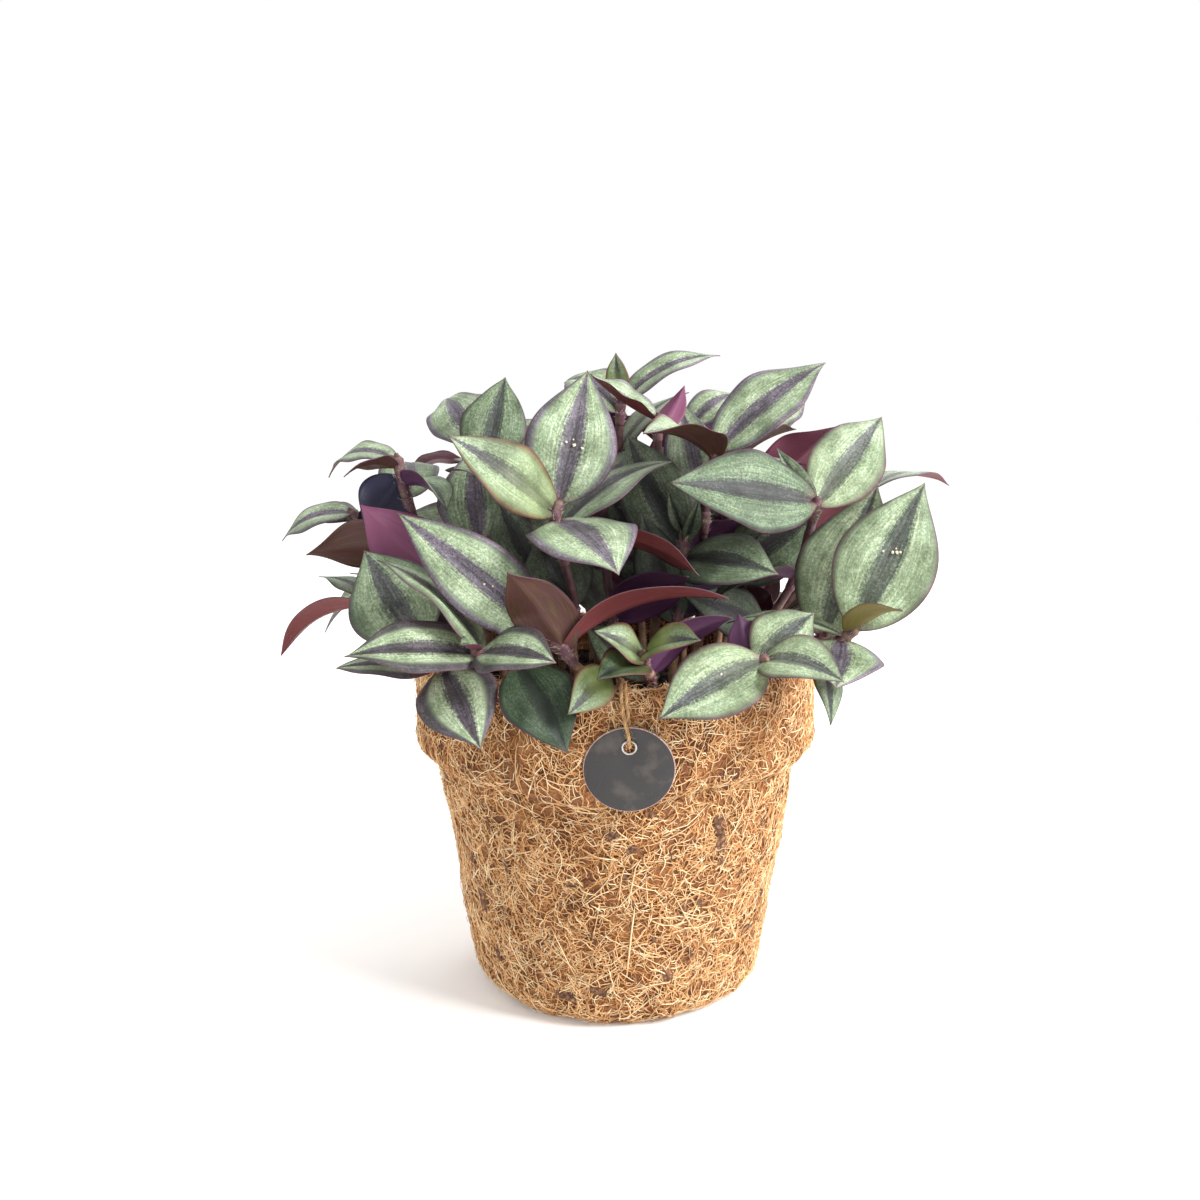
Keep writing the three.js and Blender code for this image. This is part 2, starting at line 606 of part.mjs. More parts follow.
// Tag: a thin round card with an eyelet near its top, leaning in at the foot against the collar.
const tagGroup = new THREE.Group();
tagGroup.position.set(...TAG_CENTRE);
tagGroup.rotation.x = Math.PI / 2 + toRadians(TAG_LEAN);
group.add(tagGroup);

const tagOutline = new THREE.Shape();
tagOutline.absarc(0, 0, TAG_RADIUS, 0, 2 * Math.PI);
const tagHole = new THREE.Path();
tagHole.absarc(0, EYELET_RISE, EYELET_BORE + EYELET_WALL + EYELET_PLAY, 0, 2 * Math.PI);
tagOutline.holes.push(tagHole);
const tagGeometry = new THREE.ExtrudeGeometry(tagOutline, {
  depth: TAG_THICKNESS,
  curveSegments: TAG_CURVE_STEPS,
  bevelEnabled: false,
});
tagGeometry.translate(0, 0, -TAG_THICKNESS / 2);
tagGroup.add(addPiece("tag", tagGeometry, 0x4a474b, 0.5));

// Eyelet: a rolled metal rivet that lines the tag's hole.
const barrel = EYELET_BORE + EYELET_WALL;
const lipFoot = TAG_THICKNESS / 2 + EYELET_PLAY;
const lipTop = lipFoot + EYELET_LIP;
const eyeletProfile = [
  [EYELET_BORE, -lipTop], [EYELET_RADIUS, -lipTop], [EYELET_RADIUS, -lipFoot], [barrel, -lipFoot],
  [barrel, lipFoot], [EYELET_RADIUS, lipFoot], [EYELET_RADIUS, lipTop], [EYELET_BORE, lipTop],
  [EYELET_BORE, -lipTop],
].map(([x, y]) => new THREE.Vector2(x, y));
const eyeletGeometry = lathe(eyeletProfile, EYELET_SIDES);
eyeletGeometry.translate(0, EYELET_RISE, 0);
tagGroup.add(addPiece("eyelet", eyeletGeometry, 0xcfcac6, 0.3, 1));

const potSolid = solidOf(potGeometry);
stand("coir_pot", potSolid);
stand("twine", solidOf(twineGeometry));

const stems = new Map();
for (const shoot of shoots) {
  const stem = stemTube(shoot, STEM_RADIUS);
  stems.set(shoot.name, stem);
  stand(shoot.name, stem);
}

// Younger shoots' spare leaves: drawn for each node above the rim, they point away from the front
// in the front half and outwards behind it, and stay only where they find room under the dome.
function spareLeaves(shoot) {
  const leaves = [];
  for (const [node, [x, y, z]] of shoot.path.entries()) {
    if (z < SPARE_FROM) continue;
    const outward = THREE.MathUtils.radToDeg(Math.atan2(y, x));
    const inFront = y < SPARE_FRONT;
    const tries = inFront ? SPARES_IN_FRONT : SPARES_BEHIND;
    for (let k = 0; k < tries; k += 1) {
      const swing = draw(-1, 1);
      const middle = inFront ? 90 : outward;
      const azimuth = toRadians(middle + swing * (inFront ? SPARE_TURN_IN_FRONT : SPARE_TURN_BEHIND));
      const climb = toRadians(draw(...SPARE_CLIMB));
      const length = draw(...SPARE_LENGTH);
      const reach = length * Math.cos(climb);
      const tip = [
        x + reach * Math.cos(azimuth),
        y + reach * Math.sin(azimuth),
        z + length * Math.sin(climb),
      ];
      const face = [SPARE_TILT * Math.cos(azimuth), SPARE_TILT * Math.sin(azimuth), 1];
      const width = length * draw(...SPARE_WIDTH_SHARE);
      const reachSquared = tip[0] * tip[0] + tip[1] * tip[1];
      const dome = DOME_TOP - DOME_FALL * reachSquared;
      if (tip[2] < SPARE_LOW && reachSquared > SPARE_REACH * SPARE_REACH) continue;
      if (tip[2] < dome) leaves.push({ node, tip, face, width, arch: SPARE_ARCH, fold: SPARE_FOLD });
    }
  }
  return leaves;
}

// Inner leaves are drawn for the nodes inside the pot's mouth. They climb beside their stem and
// fill the plant's inside. Behind the middle they face outwards. In front of it those that lean one
// way face to the front, and the others turn their undersides to it.
function innerLeaves(shoot) {
  const leaves = [];
  for (const [node, [x, y, z]] of shoot.path.entries()) {
    if (z < INNER_FROM || y < INNER_FRONT || x * x + y * y > INNER_RADIUS * INNER_RADIUS) continue;
    const azimuth = y < 0 ? -Math.PI / 2 : Math.atan2(y, x);
    const out = [Math.cos(azimuth), Math.sin(azimuth)];
    for (let k = 0; k < INNER_TRIES; k += 1) {
      const lean = toRadians(draw(...INNER_LEAN));
      const push = draw(...INNER_PUSH);
      const length = draw(...INNER_LENGTH);
      const width = length * draw(...SPARE_WIDTH_SHARE);
      const aside = length * Math.sin(lean);
      const tip = [
        x + length * push * out[0] - aside * out[1],
        y + length * push * out[1] + aside * out[0],
        z + length * Math.cos(lean),
      ];
      const turned = y < 0 && lean > 0 ? -1 : 1;
      const face = [turned * out[0], turned * out[1], INNER_TILT];
      const dome = DOME_TOP - INNER_DROP - DOME_FALL * (tip[0] * tip[0] + tip[1] * tip[1]);
      if (tip[2] < dome) leaves.push({ node, tip, face, width, arch: SPARE_ARCH, fold: SPARE_FOLD });
    }
  }
  return leaves;
}

function growLeaf(leaf, shoot) {
  const placed = seated(leaf, shoot);
  const clear = clearLeaf(placed, shoot);
  if (!clear) return;
  shoot.taken.set(leaf.node, (shoot.taken.get(leaf.node) ?? 0) + 1);
  const stations = leaf.width > BROAD_LEAF_WIDTH ? BROAD_STATIONS : STATIONS;
  const blade = solidOf(bladeGeometry(clear, stations, BLADE_THICKNESS));
  shoot.blades.push(blade);
  stand(shoot.name, blade);
  const outer = solidOf(bladeGeometry(clear, OUTER_STATIONS, BLADE_THICKNESS, 0, OUTER_START));
  standing.push({ owner: shoot.name, solid: outer, box: outer.boundingBox(), blade: true });
}

for (const shoot of shoots) {
  shoot.blades = [];
  shoot.taken = new Map();
  for (const leaf of shoot.leaves) growLeaf(leaf, shoot);
}
for (const shoot of shoots) {
  for (const leaf of spareLeaves(shoot)) growLeaf(leaf, shoot);
}
for (const shoot of shoots) {
  for (const leaf of innerLeaves(shoot)) growLeaf(leaf, shoot);
}
for (const shoot of shoots) {
  const solid = shoot.blades.reduce((whole, blade) => whole.add(blade), stems.get(shoot.name));
  addPiece(shoot.name, geometryOf(solid), 0x8fae86, 0.55);
}

// Soil: the root ball of potting soil that fills the pot, with a plain hole for each stem and twine end.
const soilProfile = [
  [0, WALL + GAP], [innerFootRadius - WALL - GAP, WALL + GAP], [innerFootRadius - GAP, FOOT_ROUND],
  [BODY_TOP_RADIUS - WALL - GAP, COLLAR_BOTTOM], [SOIL_EDGE_RADIUS, SOIL_LEVEL],
  [0, SOIL_LEVEL + SOIL_CROWN],
].map(([x, y]) => new THREE.Vector2(x, y));
let soil = solidOf(lathe(soilProfile, POT_SIDES));
for (const shoot of shoots) soil = soil.subtract(stemTube(shoot, STEM_RADIUS + GAP));
soil = soil.subtract(solidOf(tube(twineCurve, TWINE_RADIUS + GAP, TWINE_SIDES, TWINE_STEPS)));
addPiece("soil", geometryOf(soil), 0x2c1e17, 1);

export default group;
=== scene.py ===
# A potted tradescantia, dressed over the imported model: a studio, the twine, the coir pot with its
# fibres, the soil, the tag with its eyelet, and the leafy stems. Metres, +Z up, -Y is the front.
import math

import bmesh
import bpy
import numpy as np
from mathutils import Matrix, Vector


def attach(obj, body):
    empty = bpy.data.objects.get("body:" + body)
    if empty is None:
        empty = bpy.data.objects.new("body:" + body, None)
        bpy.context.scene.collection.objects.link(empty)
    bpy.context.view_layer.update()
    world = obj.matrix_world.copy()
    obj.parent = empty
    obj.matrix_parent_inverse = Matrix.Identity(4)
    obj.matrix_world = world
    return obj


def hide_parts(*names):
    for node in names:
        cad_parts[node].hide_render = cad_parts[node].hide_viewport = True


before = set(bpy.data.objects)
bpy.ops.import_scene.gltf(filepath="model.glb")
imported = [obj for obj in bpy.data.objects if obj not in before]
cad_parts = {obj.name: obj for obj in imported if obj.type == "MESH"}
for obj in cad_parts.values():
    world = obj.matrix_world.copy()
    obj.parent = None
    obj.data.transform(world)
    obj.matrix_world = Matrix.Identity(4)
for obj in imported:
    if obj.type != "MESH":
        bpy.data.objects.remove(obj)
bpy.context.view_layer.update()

MM = 0.001


# Studio. A plain pale floor under large soft lamps, and a camera at table height that looks
# slightly down on the plant.
CAMERA_PLACE = (0, -0.480, 0.2237)
CAMERA_AIM_HEIGHT = 0.1455
CAMERA_LENS = 38.83
CAMERA_SHIFT = -0.0132
FLOOR_SIZE = 8
FLOOR_COLOUR = "#f2f1ef"
FLOOR_GLOW = 0.14
SKY_STRENGTH = 1.0


def tint(code):
    """A colour written as #rrggbb, as linear red, green, blue and alpha."""
    parts = [int(code[i:i + 2], 16) / 255 for i in (1, 3, 5)]
    return [c / 12.92 if c < 0.04045 else ((c + 0.055) / 1.055) ** 2.4 for c in parts] + [1]


def finish_of(name, roughness):
    """A new material and its main shader."""
    material = bpy.data.materials.new(name)
    material.use_nodes = True
    shader = material.node_tree.nodes["Principled BSDF"]
    shader.inputs["Roughness"].default_value = roughness
    return material, shader


def piece_of(name, mesh, materials=()):
    """A new object that holds the mesh, at the origin."""
    made = bpy.data.objects.new(name, mesh)
    bpy.context.scene.collection.objects.link(made)
    for material in materials:
        mesh.materials.append(material)
    return made


def mesh_of(name, shape):
    """A mesh made of a bmesh, which is then let go."""
    mesh = bpy.data.meshes.new(name)
    shape.to_mesh(mesh)
    shape.free()
    return mesh


camera_data = bpy.data.cameras.new("camera")
camera_data.lens = CAMERA_LENS
camera_data.shift_x = CAMERA_SHIFT
camera = bpy.data.objects.new("camera", camera_data)
camera.location = CAMERA_PLACE
look_down = math.atan2(CAMERA_PLACE[2] - CAMERA_AIM_HEIGHT, -CAMERA_PLACE[1])
camera.rotation_euler = (math.pi / 2 - look_down, 0, 0)
bpy.context.scene.collection.objects.link(camera)
bpy.context.scene.camera = camera
bpy.context.scene.view_settings.view_transform = "Standard"

floor_finish, floor_shader = finish_of("pale floor", 0.8)
floor_shader.inputs["Base Color"].default_value = tint(FLOOR_COLOUR)
floor_shader.inputs["Emission Color"].default_value = (1, 1, 1, 1)
floor_shader.inputs["Emission Strength"].default_value = FLOOR_GLOW
floor_shape = bmesh.new()
bmesh.ops.create_grid(floor_shape, x_segments=1, y_segments=1, size=FLOOR_SIZE)
floor = piece_of("floor", mesh_of("floor", floor_shape), [floor_finish])

world = bpy.data.worlds.new("studio")
bpy.context.scene.world = world
world.use_nodes = True
world.node_tree.nodes["Background"].inputs["Color"].default_value = (1, 1, 1, 1)
world.node_tree.nodes["Background"].inputs["Strength"].default_value = SKY_STRENGTH


def softbox(name, place, aim, size, power):
    """A square soft lamp that points at its aim."""
    data = bpy.data.lights.new(name, "AREA")
    data.size = size
    data.energy = power
    lamp = bpy.data.objects.new(name, data)
    lamp.location = place
    lamp.rotation_euler = (Vector(aim) - Vector(place)).to_track_quat("-Z", "Y").to_euler()
    bpy.context.scene.collection.objects.link(lamp)


softbox("key lamp", (1.15, -0.6, 0.95), (0, 0, 0.13), 0.6, 33)
softbox("back lamp", (0.5, 1.0, 1.2), (0, 0, 0.18), 0.8, 8)


# Twine. One length of two-ply jute, about a millimetre thick, with both ends tucked in the soil.
# It goes over the rim, down in front of the tag, back through the eyelet and up behind the tag.
TWINE_ROUTE = [
    (1.0, -58.0, 108), (1.0, -60.2, 116), (1.2, -63.2, 122), (1.4, -65.6, 127),
    (1.5, -68.6, 129.5), (1.6, -72.2, 129.2), (1.7, -75.2, 127.6), (1.9, -76.4, 124.4),
    (2.3, -78, 121.5), (3, -79.8, 118.6), (3.7, -80.4, 116), (4.2, -80.2, 113.6),
    (4.4, -79.5, 111.6), (4.4, -78.4, 110.6), (4.4, -77, 110.6), (4.4, -76.2, 111.5),
    (4.5, -76.1, 113), (4.4, -76.3, 116), (4, -76.5, 120), (3.5, -76.2, 124.4), (3.2, -75, 127.7),
    (3.1, -72, 129.3), (3.1, -68.6, 129.5), (3, -65.6, 127), (2.9, -63.2, 122), (2.9, -60.2, 116),
    (2.9, -58.0, 108),
]
PLY_RADIUS = 0.33 * MM
PLY_OFFSET = 0.27 * MM
PLY_COUNT = 3
TWIST_LENGTH = 4.5 * MM
TWINE_STEPS = 14
FLUFF_COUNT = 260
FLUFF_POINTS = 5
FLUFF_RADIUS = 0.045 * MM


def smooth_line(points, steps):
    """Points along a centripetal Catmull-Rom curve through the given ones, steps for each span."""
    points = np.asarray(points, float)
    ends = [2 * points[0] - points[1], 2 * points[-1] - points[-2]]
    knots = np.vstack([ends[0], points, ends[1]])
    line = []
    for before, start, stop, after in zip(knots, knots[1:], knots[2:], knots[3:]):
        gaps = [max(np.linalg.norm(b - a), 1e-9) ** 0.5
                for a, b in ((before, start), (start, stop), (stop, after))]
        leave = (start - before) / gaps[0] - (stop - before) / (gaps[0] + gaps[1])
        leave = (leave + (stop - start) / gaps[1]) * gaps[1]
        arrive = (stop - start) / gaps[1] - (after - start) / (gaps[1] + gaps[2])
        arrive = (arrive + (after - stop) / gaps[2]) * gaps[1]
        for t in np.arange(steps) / steps:
            line.append(
                start + leave * t + (3 * (stop - start) - 2 * leave - arrive) * t ** 2
                + (2 * (start - stop) + leave + arrive) * t ** 3
            )
    return np.array(line + [points[-1]])


def strands_mesh(name, lines, radii, tones, sides=3):
    """One mesh of closed round strands. lines holds a row of points for each strand, radii its
    thickness at each point, and tones its shade from 0 to 1, kept as the attribute "tone"."""
    count, steps, _ = lines.shape
    section = bpy.data.curves.new("section", "CURVE")
    outline = section.splines.new("POLY")
    outline.points.add(sides - 1)
    for point, angle in zip(outline.points, np.arange(sides) * 2 * math.pi / sides):
        point.co = (math.cos(angle), math.sin(angle), 0, 1)
    outline.use_cyclic_u = True
    section_object = bpy.data.objects.new("section", section)
    curve = bpy.data.curves.new(name, "CURVE")
    curve.dimensions = "3D"
    curve.bevel_mode = "OBJECT"
    curve.bevel_object = section_object
    curve.use_fill_caps = True
    for line, thickness in zip(lines, radii):
        spline = curve.splines.new("POLY")
        spline.points.add(steps - 1)
        spline.points.foreach_set("co", np.column_stack([line, np.ones(steps)]).ravel())
        spline.points.foreach_set("radius", thickness)
    holder = bpy.data.objects.new(name, curve)
    bpy.context.scene.collection.objects.link(holder)
    bpy.context.view_layer.update()
    placed = holder.evaluated_get(bpy.context.evaluated_depsgraph_get())
    mesh = bpy.data.meshes.new_from_object(placed)
    tone = mesh.attributes.new("tone", "FLOAT", "POINT")
    tone.data.foreach_set("value", np.repeat(tones, len(mesh.vertices) // count))
    for leftover in (holder, section_object):
        bpy.data.objects.remove(leftover)
    shape = bmesh.new()
    shape.from_mesh(mesh)
    bmesh.ops.remove_doubles(shape, verts=shape.verts, dist=1e-7)
    if shape.calc_volume(signed=True) < 0:
        bmesh.ops.reverse_faces(shape, faces=shape.faces)
    for face in shape.faces:
        face.smooth = len(face.verts) == 4
    shape.to_mesh(mesh)
    shape.free()
    return mesh


def feed(socket, value):
    """Gives a socket a number or colour, or links it to another socket."""
    if isinstance(value, bpy.types.NodeSocket):
        socket.id_data.links.new(value, socket)
    else:
        socket.default_value = value


def node_in(shader, kind, inputs=(), **settings):
    """A new node in the shader's tree, with its settings and its inputs by name or number."""
    made = shader.id_data.nodes.new("ShaderNode" + kind)
    for key, value in settings.items():
        setattr(made, key, value)
    for key, value in dict(inputs).items():
        feed(made.inputs[key], value)
    return made


def noisy(shader, vector, scale, detail=3.0, roughness=0.55):
    inputs = {"Vector": vector, "Scale": scale, "Detail": detail, "Roughness": roughness}
    return node_in(shader, "TexNoise", inputs).outputs["Fac"]


def maths(shader, operation, first, second=0.0):
    return node_in(shader, "Math", {0: first, 1: second}, operation=operation).outputs[0]


def scaled(shader, value, factor):
    return maths(shader, "MULTIPLY", value, factor)


def step_up(shader, value, low, high):
    """0 below low and 1 above high, with a soft step between; high below low turns it round."""
    inputs = {"Value": value, "From Min": low, "From Max": high}
    made = node_in(shader, "MapRange", inputs, interpolation_type="SMOOTHSTEP")
    return made.outputs["Result"]


def mixed(shader, factor, first, second, blend="MIX"):
    first, second = (tint(c) if isinstance(c, str) else c for c in (first, second))
    inputs = {0: factor, 6: first, 7: second}
    return node_in(shader, "Mix", inputs, data_type="RGBA", blend_type=blend).outputs[2]


def shaded(shader, factor, stops):
    """A colour ramp over the given (place, colour) stops."""
    ramp = node_in(shader, "ValToRGB", {"Fac": factor})
    for place, code in stops[1:-1]:
        ramp.color_ramp.elements.new(place)
    for element, (place, code) in zip(ramp.color_ramp.elements, stops):
        element.position = place
        element.color = tint(code)
    return ramp.outputs["Color"]


def bumped(shader, height, distance, strength=1.0):
    inputs = {"Height": height, "Distance": distance, "Strength": strength}
    feed(shader.inputs["Normal"], node_in(shader, "Bump", inputs).outputs["Normal"])


def place_of(shader):
    return node_in(shader, "TexCoord").outputs["Object"]


def attribute_of(shader, name, output="Fac"):
    return node_in(shader, "Attribute", attribute_name=name).outputs[output]


jute, jute_shader = finish_of("jute", 0.9)
jute_grain = noisy(jute_shader, place_of(jute_shader), 2600, 4)
jute_tone = maths(jute_shader, "ADD", attribute_of(jute_shader, "tone"), jute_grain)
jute_colour = shaded(jute_shader, scaled(jute_shader, jute_tone, 0.5), [
    (0.2, "#7d5a35"), (0.45, "#b48a59"), (0.62, "#cfa878"), (0.85, "#e4c79b"),
])
feed(jute_shader.inputs["Base Color"], jute_colour)
bumped(jute_shader, jute_grain, 0.15 * MM)

route = smooth_line(np.array(TWINE_ROUTE) * MM, TWINE_STEPS)
steps_along = np.linalg.norm(np.diff(route, axis=0), axis=1)
run = np.concatenate([[0], np.cumsum(steps_along)])
heading = np.gradient(route, axis=0)
heading /= np.linalg.norm(heading, axis=1)[:, None]
sideways = np.cross(heading, (1, 0.02, 0.01))
sideways /= np.linalg.norm(sideways, axis=1)[:, None]
upwards = np.cross(heading, sideways)
plies = []
for k in range(PLY_COUNT):
    turn = (2 * math.pi * (run / TWIST_LENGTH + k / PLY_COUNT))[:, None]
    plies.append(route + PLY_OFFSET * (np.cos(turn) * sideways + np.sin(turn) * upwards))
plies = np.array(plies)
ply_radii = np.full(plies.shape[:2], PLY_RADIUS)
ply_tones = np.array([0.35, 0.55, 0.75])
twine_mesh = strands_mesh("twine", plies, ply_radii, ply_tones, sides=8)
twine = piece_of("jute_twine", twine_mesh, [jute])
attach(twine, "root")
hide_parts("twine")

fluff_draw = np.random.default_rng(51)
fluff_lines = []
for k in fluff_draw.integers(20, len(route) - 20, FLUFF_COUNT):
    turn, lean = fluff_draw.uniform(0, 2 * math.pi), fluff_draw.uniform(-1, 1)
    out = math.cos(turn) * sideways[k] + math.sin(turn) * upwards[k]
    bow = out + heading[k] * lean * 2
    reach = np.linspace(0, fluff_draw.uniform(0.8, 2.4) * MM, FLUFF_POINTS)[:, None]
    drift = fluff_draw.normal(0, 0.35, 3) * reach ** 2 / (2 * MM)
    fluff_lines.append(route[k] + out * PLY_OFFSET + reach * bow / np.linalg.norm(bow) + drift)
fluff_lines = np.array(fluff_lines)
fluff_radii = np.full(fluff_lines.shape[:2], FLUFF_RADIUS)
fluff_tones = fluff_draw.uniform(0.4, 1, FLUFF_COUNT)
fluff_mesh = strands_mesh("twine_fluff", fluff_lines, fluff_radii, fluff_tones)
twine_fluff = piece_of("twine_fluff", fluff_mesh, [jute])
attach(twine_fluff, "root")


# Coir pot. One moulded shell of coconut fibre felt bound with latex, about 6 mm thick, with a
# thicker collar folded over round its top. A flap of the fold ends in a raised edge in front.
RIM_RADIUS = 75 * MM
POT_HEIGHT = 128 * MM
COLLAR_BOTTOM = 91 * MM
BODY_TOP_RADIUS = 67.6 * MM
BODY_FOOT_RADIUS = 54.6 * MM
FOOT_ROUND = 11.7 * MM
COLLAR_ROUND = 7.4 * MM
RIM_ROUND = 3.6 * MM
WALL = 6 * MM
MOUTH_RADIUS = 66.5 * MM
SOIL_LEVEL = 114 * MM
FOOT_CLEARANCE = 0.3 * MM
SHELL_STEP = 1.5 * MM
SHELL_TURNS = 216
LUMP_HEIGHT = 0.9 * MM
DENT_HEIGHT = 0.45 * MM
FELT_DEPTH = 0.35 * MM
FLAP_START = math.radians(-25)
FLAP_STOP = math.radians(14)
FLAP_EDGE = 90.3 * MM
FLAP_HEIGHT = 2.6 * MM
TAG_RADIUS = 15 * MM
TAG_CENTRE = Vector((4.3, -76.36, 102.5)) * MM
TAG_LEAN = math.radians(9)
TAG_ROOM = 0.8 * MM


def arc_line(centre, radius, start, stop, steps):
    angles = np.radians(np.linspace(start, stop, steps + 1))
    return [(centre[0] + radius * math.cos(a), centre[1] + radius * math.sin(a)) for a in angles]


outside = np.array([
    (0, 0),
    *arc_line((BODY_FOOT_RADIUS - FOOT_ROUND, FOOT_ROUND), FOOT_ROUND, -90, 0, 12),
    (BODY_TOP_RADIUS, COLLAR_BOTTOM - 1.5 * MM),
    *arc_line((RIM_RADIUS - COLLAR_ROUND, COLLAR_BOTTOM + COLLAR_ROUND), COLLAR_ROUND, -70, 0, 8),
    *arc_line((RIM_RADIUS - RIM_ROUND, POT_HEIGHT - RIM_ROUND), RIM_ROUND, 0, 90, 6),
    (MOUTH_RADIUS + 1 * MM, POT_HEIGHT - 0.5 * MM),
    (MOUTH_RADIUS, POT_HEIGHT - 3 * MM),
    (MOUTH_RADIUS - 1.5 * MM, SOIL_LEVEL - 6 * MM),
])
corner_runs = np.concatenate([[0], np.cumsum(np.linalg.norm(np.diff(outside, axis=0), axis=1))])
runs = np.arange(0, corner_runs[-1], SHELL_STEP / 3)
profile = np.column_stack([np.interp(runs, corner_runs, outside[:, k]) for k in (0, 1)])
profile_slope = np.gradient(profile, axis=0)
smoothing = np.hanning(9) / np.hanning(9).sum()
profile_slope = np.column_stack([
    np.convolve(np.pad(profile_slope[:, k], 4, "edge"), smoothing, "valid") for k in (0, 1)
])
profile_out = np.column_stack([profile_slope[:, 1], -profile_slope[:, 0]])
profile_out /= np.linalg.norm(profile_out, axis=1)[:, None]


def at_run(run, column):
    return np.interp(run, runs, column)


def patchwork(seed, rows, turns):
    """A seeded map of smooth random values round the pot, about 0 and mostly within -1 and 1."""
    values = np.random.default_rng(seed).normal(size=(rows, turns))
    for _ in range(2):
        values = (values + np.roll(values, 1, 1) + np.roll(values, -1, 1)) / 3
        values[1:-1] = (values[1:-1] + values[:-2] + values[2:]) / 3
    return values / values.std() / 1.6


def read_patch(patches, around, run):
    """The map's value at an angle round the pot and a run up its outside."""
    rows, turns = patches.shape
    row = np.clip(run / runs[-1], 0, 0.9999) * (rows - 1)
    turn = (around / (2 * math.pi)) % 1 * turns
    low, left = np.floor(row).astype(int), np.floor(turn).astype(int) % turns
    up, across = row - low, turn - np.floor(turn)
    up, across = up * up * (3 - 2 * up), across * across * (3 - 2 * across)
    right, high = (left + 1) % turns, np.minimum(low + 1, rows - 1)
    below = patches[low, left] * (1 - across) + patches[low, right] * across
    above = patches[high, left] * (1 - across) + patches[high, right] * across
    return below * (1 - up) + above * up


def soft_step(value, low, high):
    share = np.clip((value - low) / (high - low), 0, 1)
    return share * share * (3 - 2 * share)


lumps = patchwork(3, 22, 40)
dents = patchwork(4, 70, 130)
shades = patchwork(5, 18, 34)


def flap_edge(around):
    return FLAP_EDGE + 0.9 * MM * read_patch(dents, around * 3, around * 0 + 0.1)


def relief(around, run):
    """How far the felt stands off the smooth pot: its lumps, and the flap on the collar."""
    height = at_run(run, profile[:, 1])
    felt = LUMP_HEIGHT * read_patch(lumps, around, run) + DENT_HEIGHT * read_patch(dents, around, run)
    flap = soft_step(height, flap_edge(around), flap_edge(around) + 0.9 * MM)
    flap = flap * soft_step(around, FLAP_START, FLAP_START + 0.02)
    flap = flap * (1 - soft_step(around, FLAP_STOP, FLAP_STOP + 0.25))
    flap = flap * (1 - soft_step(height, POT_HEIGHT - 20 * MM, POT_HEIGHT - 2 * MM))
    return felt * soft_step(run, 0.035, 0.05) + FLAP_HEIGHT * flap


def on_pot(around, run, lift):
    """Points off the pot's outside: the angle from the front, the run up from the base, the lift.
    The felt gives way behind the tag."""
    off = relief(around, run) + lift
    radius = at_run(run, profile[:, 0]) + off * at_run(run, profile_out[:, 0])
    height = at_run(run, profile[:, 1]) + off * at_run(run, profile_out[:, 1])
    height = np.maximum(height, FOOT_CLEARANCE)
    x, y = radius * np.sin(around), -radius * np.cos(around)
    pressed = np.hypot(x - TAG_CENTRE.x, height - TAG_CENTRE.z) < TAG_RADIUS + TAG_ROOM
    back = TAG_CENTRE.y - (height - TAG_CENTRE.z) * math.tan(TAG_LEAN) + TAG_ROOM
    return np.stack([x, np.where(pressed & (y < 0), np.maximum(y, back), y), height], -1)


shell_runs = np.concatenate([[0], np.arange(0.03, runs[-1], SHELL_STEP), [runs[-1]]])
inner_foot = BODY_FOOT_RADIUS - WALL
shell = bmesh.new()
run_layer = shell.verts.layers.float.new("run")
for run_here in shell_runs:
    spot = shell.verts.new((0, -at_run(run_here, profile[:, 0]), at_run(run_here, profile[:, 1])))
    spot[run_layer] = run_here
for radius, height in ((inner_foot, FOOT_ROUND), (inner_foot - WALL, WALL), (0, WALL)):
    spot = shell.verts.new((0, -radius, height))
    spot[run_layer] = -1
shell.verts.ensure_lookup_table()
outline = [shell.edges.new(pair) for pair in zip(shell.verts, shell.verts[1:])]
bmesh.ops.spin(
    shell, geom=shell.verts[:] + outline, cent=(0, 0, 0), axis=(0, 0, 1), dvec=(0, 0, 0),
    angle=2 * math.pi, steps=SHELL_TURNS, use_merge=True,
)
bmesh.ops.remove_doubles(shell, verts=shell.verts, dist=1e-6)
felt_spots = [v for v in shell.verts if v[run_layer] > 0.02]
spots_around = np.array([math.atan2(v.co.x, -v.co.y) for v in felt_spots])
spots_run = np.array([v[run_layer] for v in felt_spots])
for v, place in zip(felt_spots, on_pot(spots_around, spots_run, -FELT_DEPTH)):
    v.co = place
bmesh.ops.recalc_face_normals(shell, faces=shell.faces)
for face in shell.faces:
    face.smooth = True

felt, felt_shader = finish_of("coir felt", 0.95)
felt_place = place_of(felt_shader)
felt_patch = noisy(felt_shader, felt_place, 90, 4)
felt_mat = noisy(felt_shader, felt_place, 900, 6, 0.7)
felt_tone = maths(felt_shader, "ADD", scaled(felt_shader, felt_patch, 0.5),
                  scaled(felt_shader, felt_mat, 0.5))
feed(felt_shader.inputs["Base Color"], shaded(felt_shader, felt_tone, [
    (0.3, "#331d13"), (0.42, "#643c25"), (0.54, "#9c673c"), (0.7, "#c9955f"),
]))
bumped(felt_shader, felt_mat, 0.8 * MM)
coir_pot = piece_of("coir_shell", mesh_of("coir_shell", shell), [felt])
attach(coir_pot, "root")
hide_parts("coir_pot")


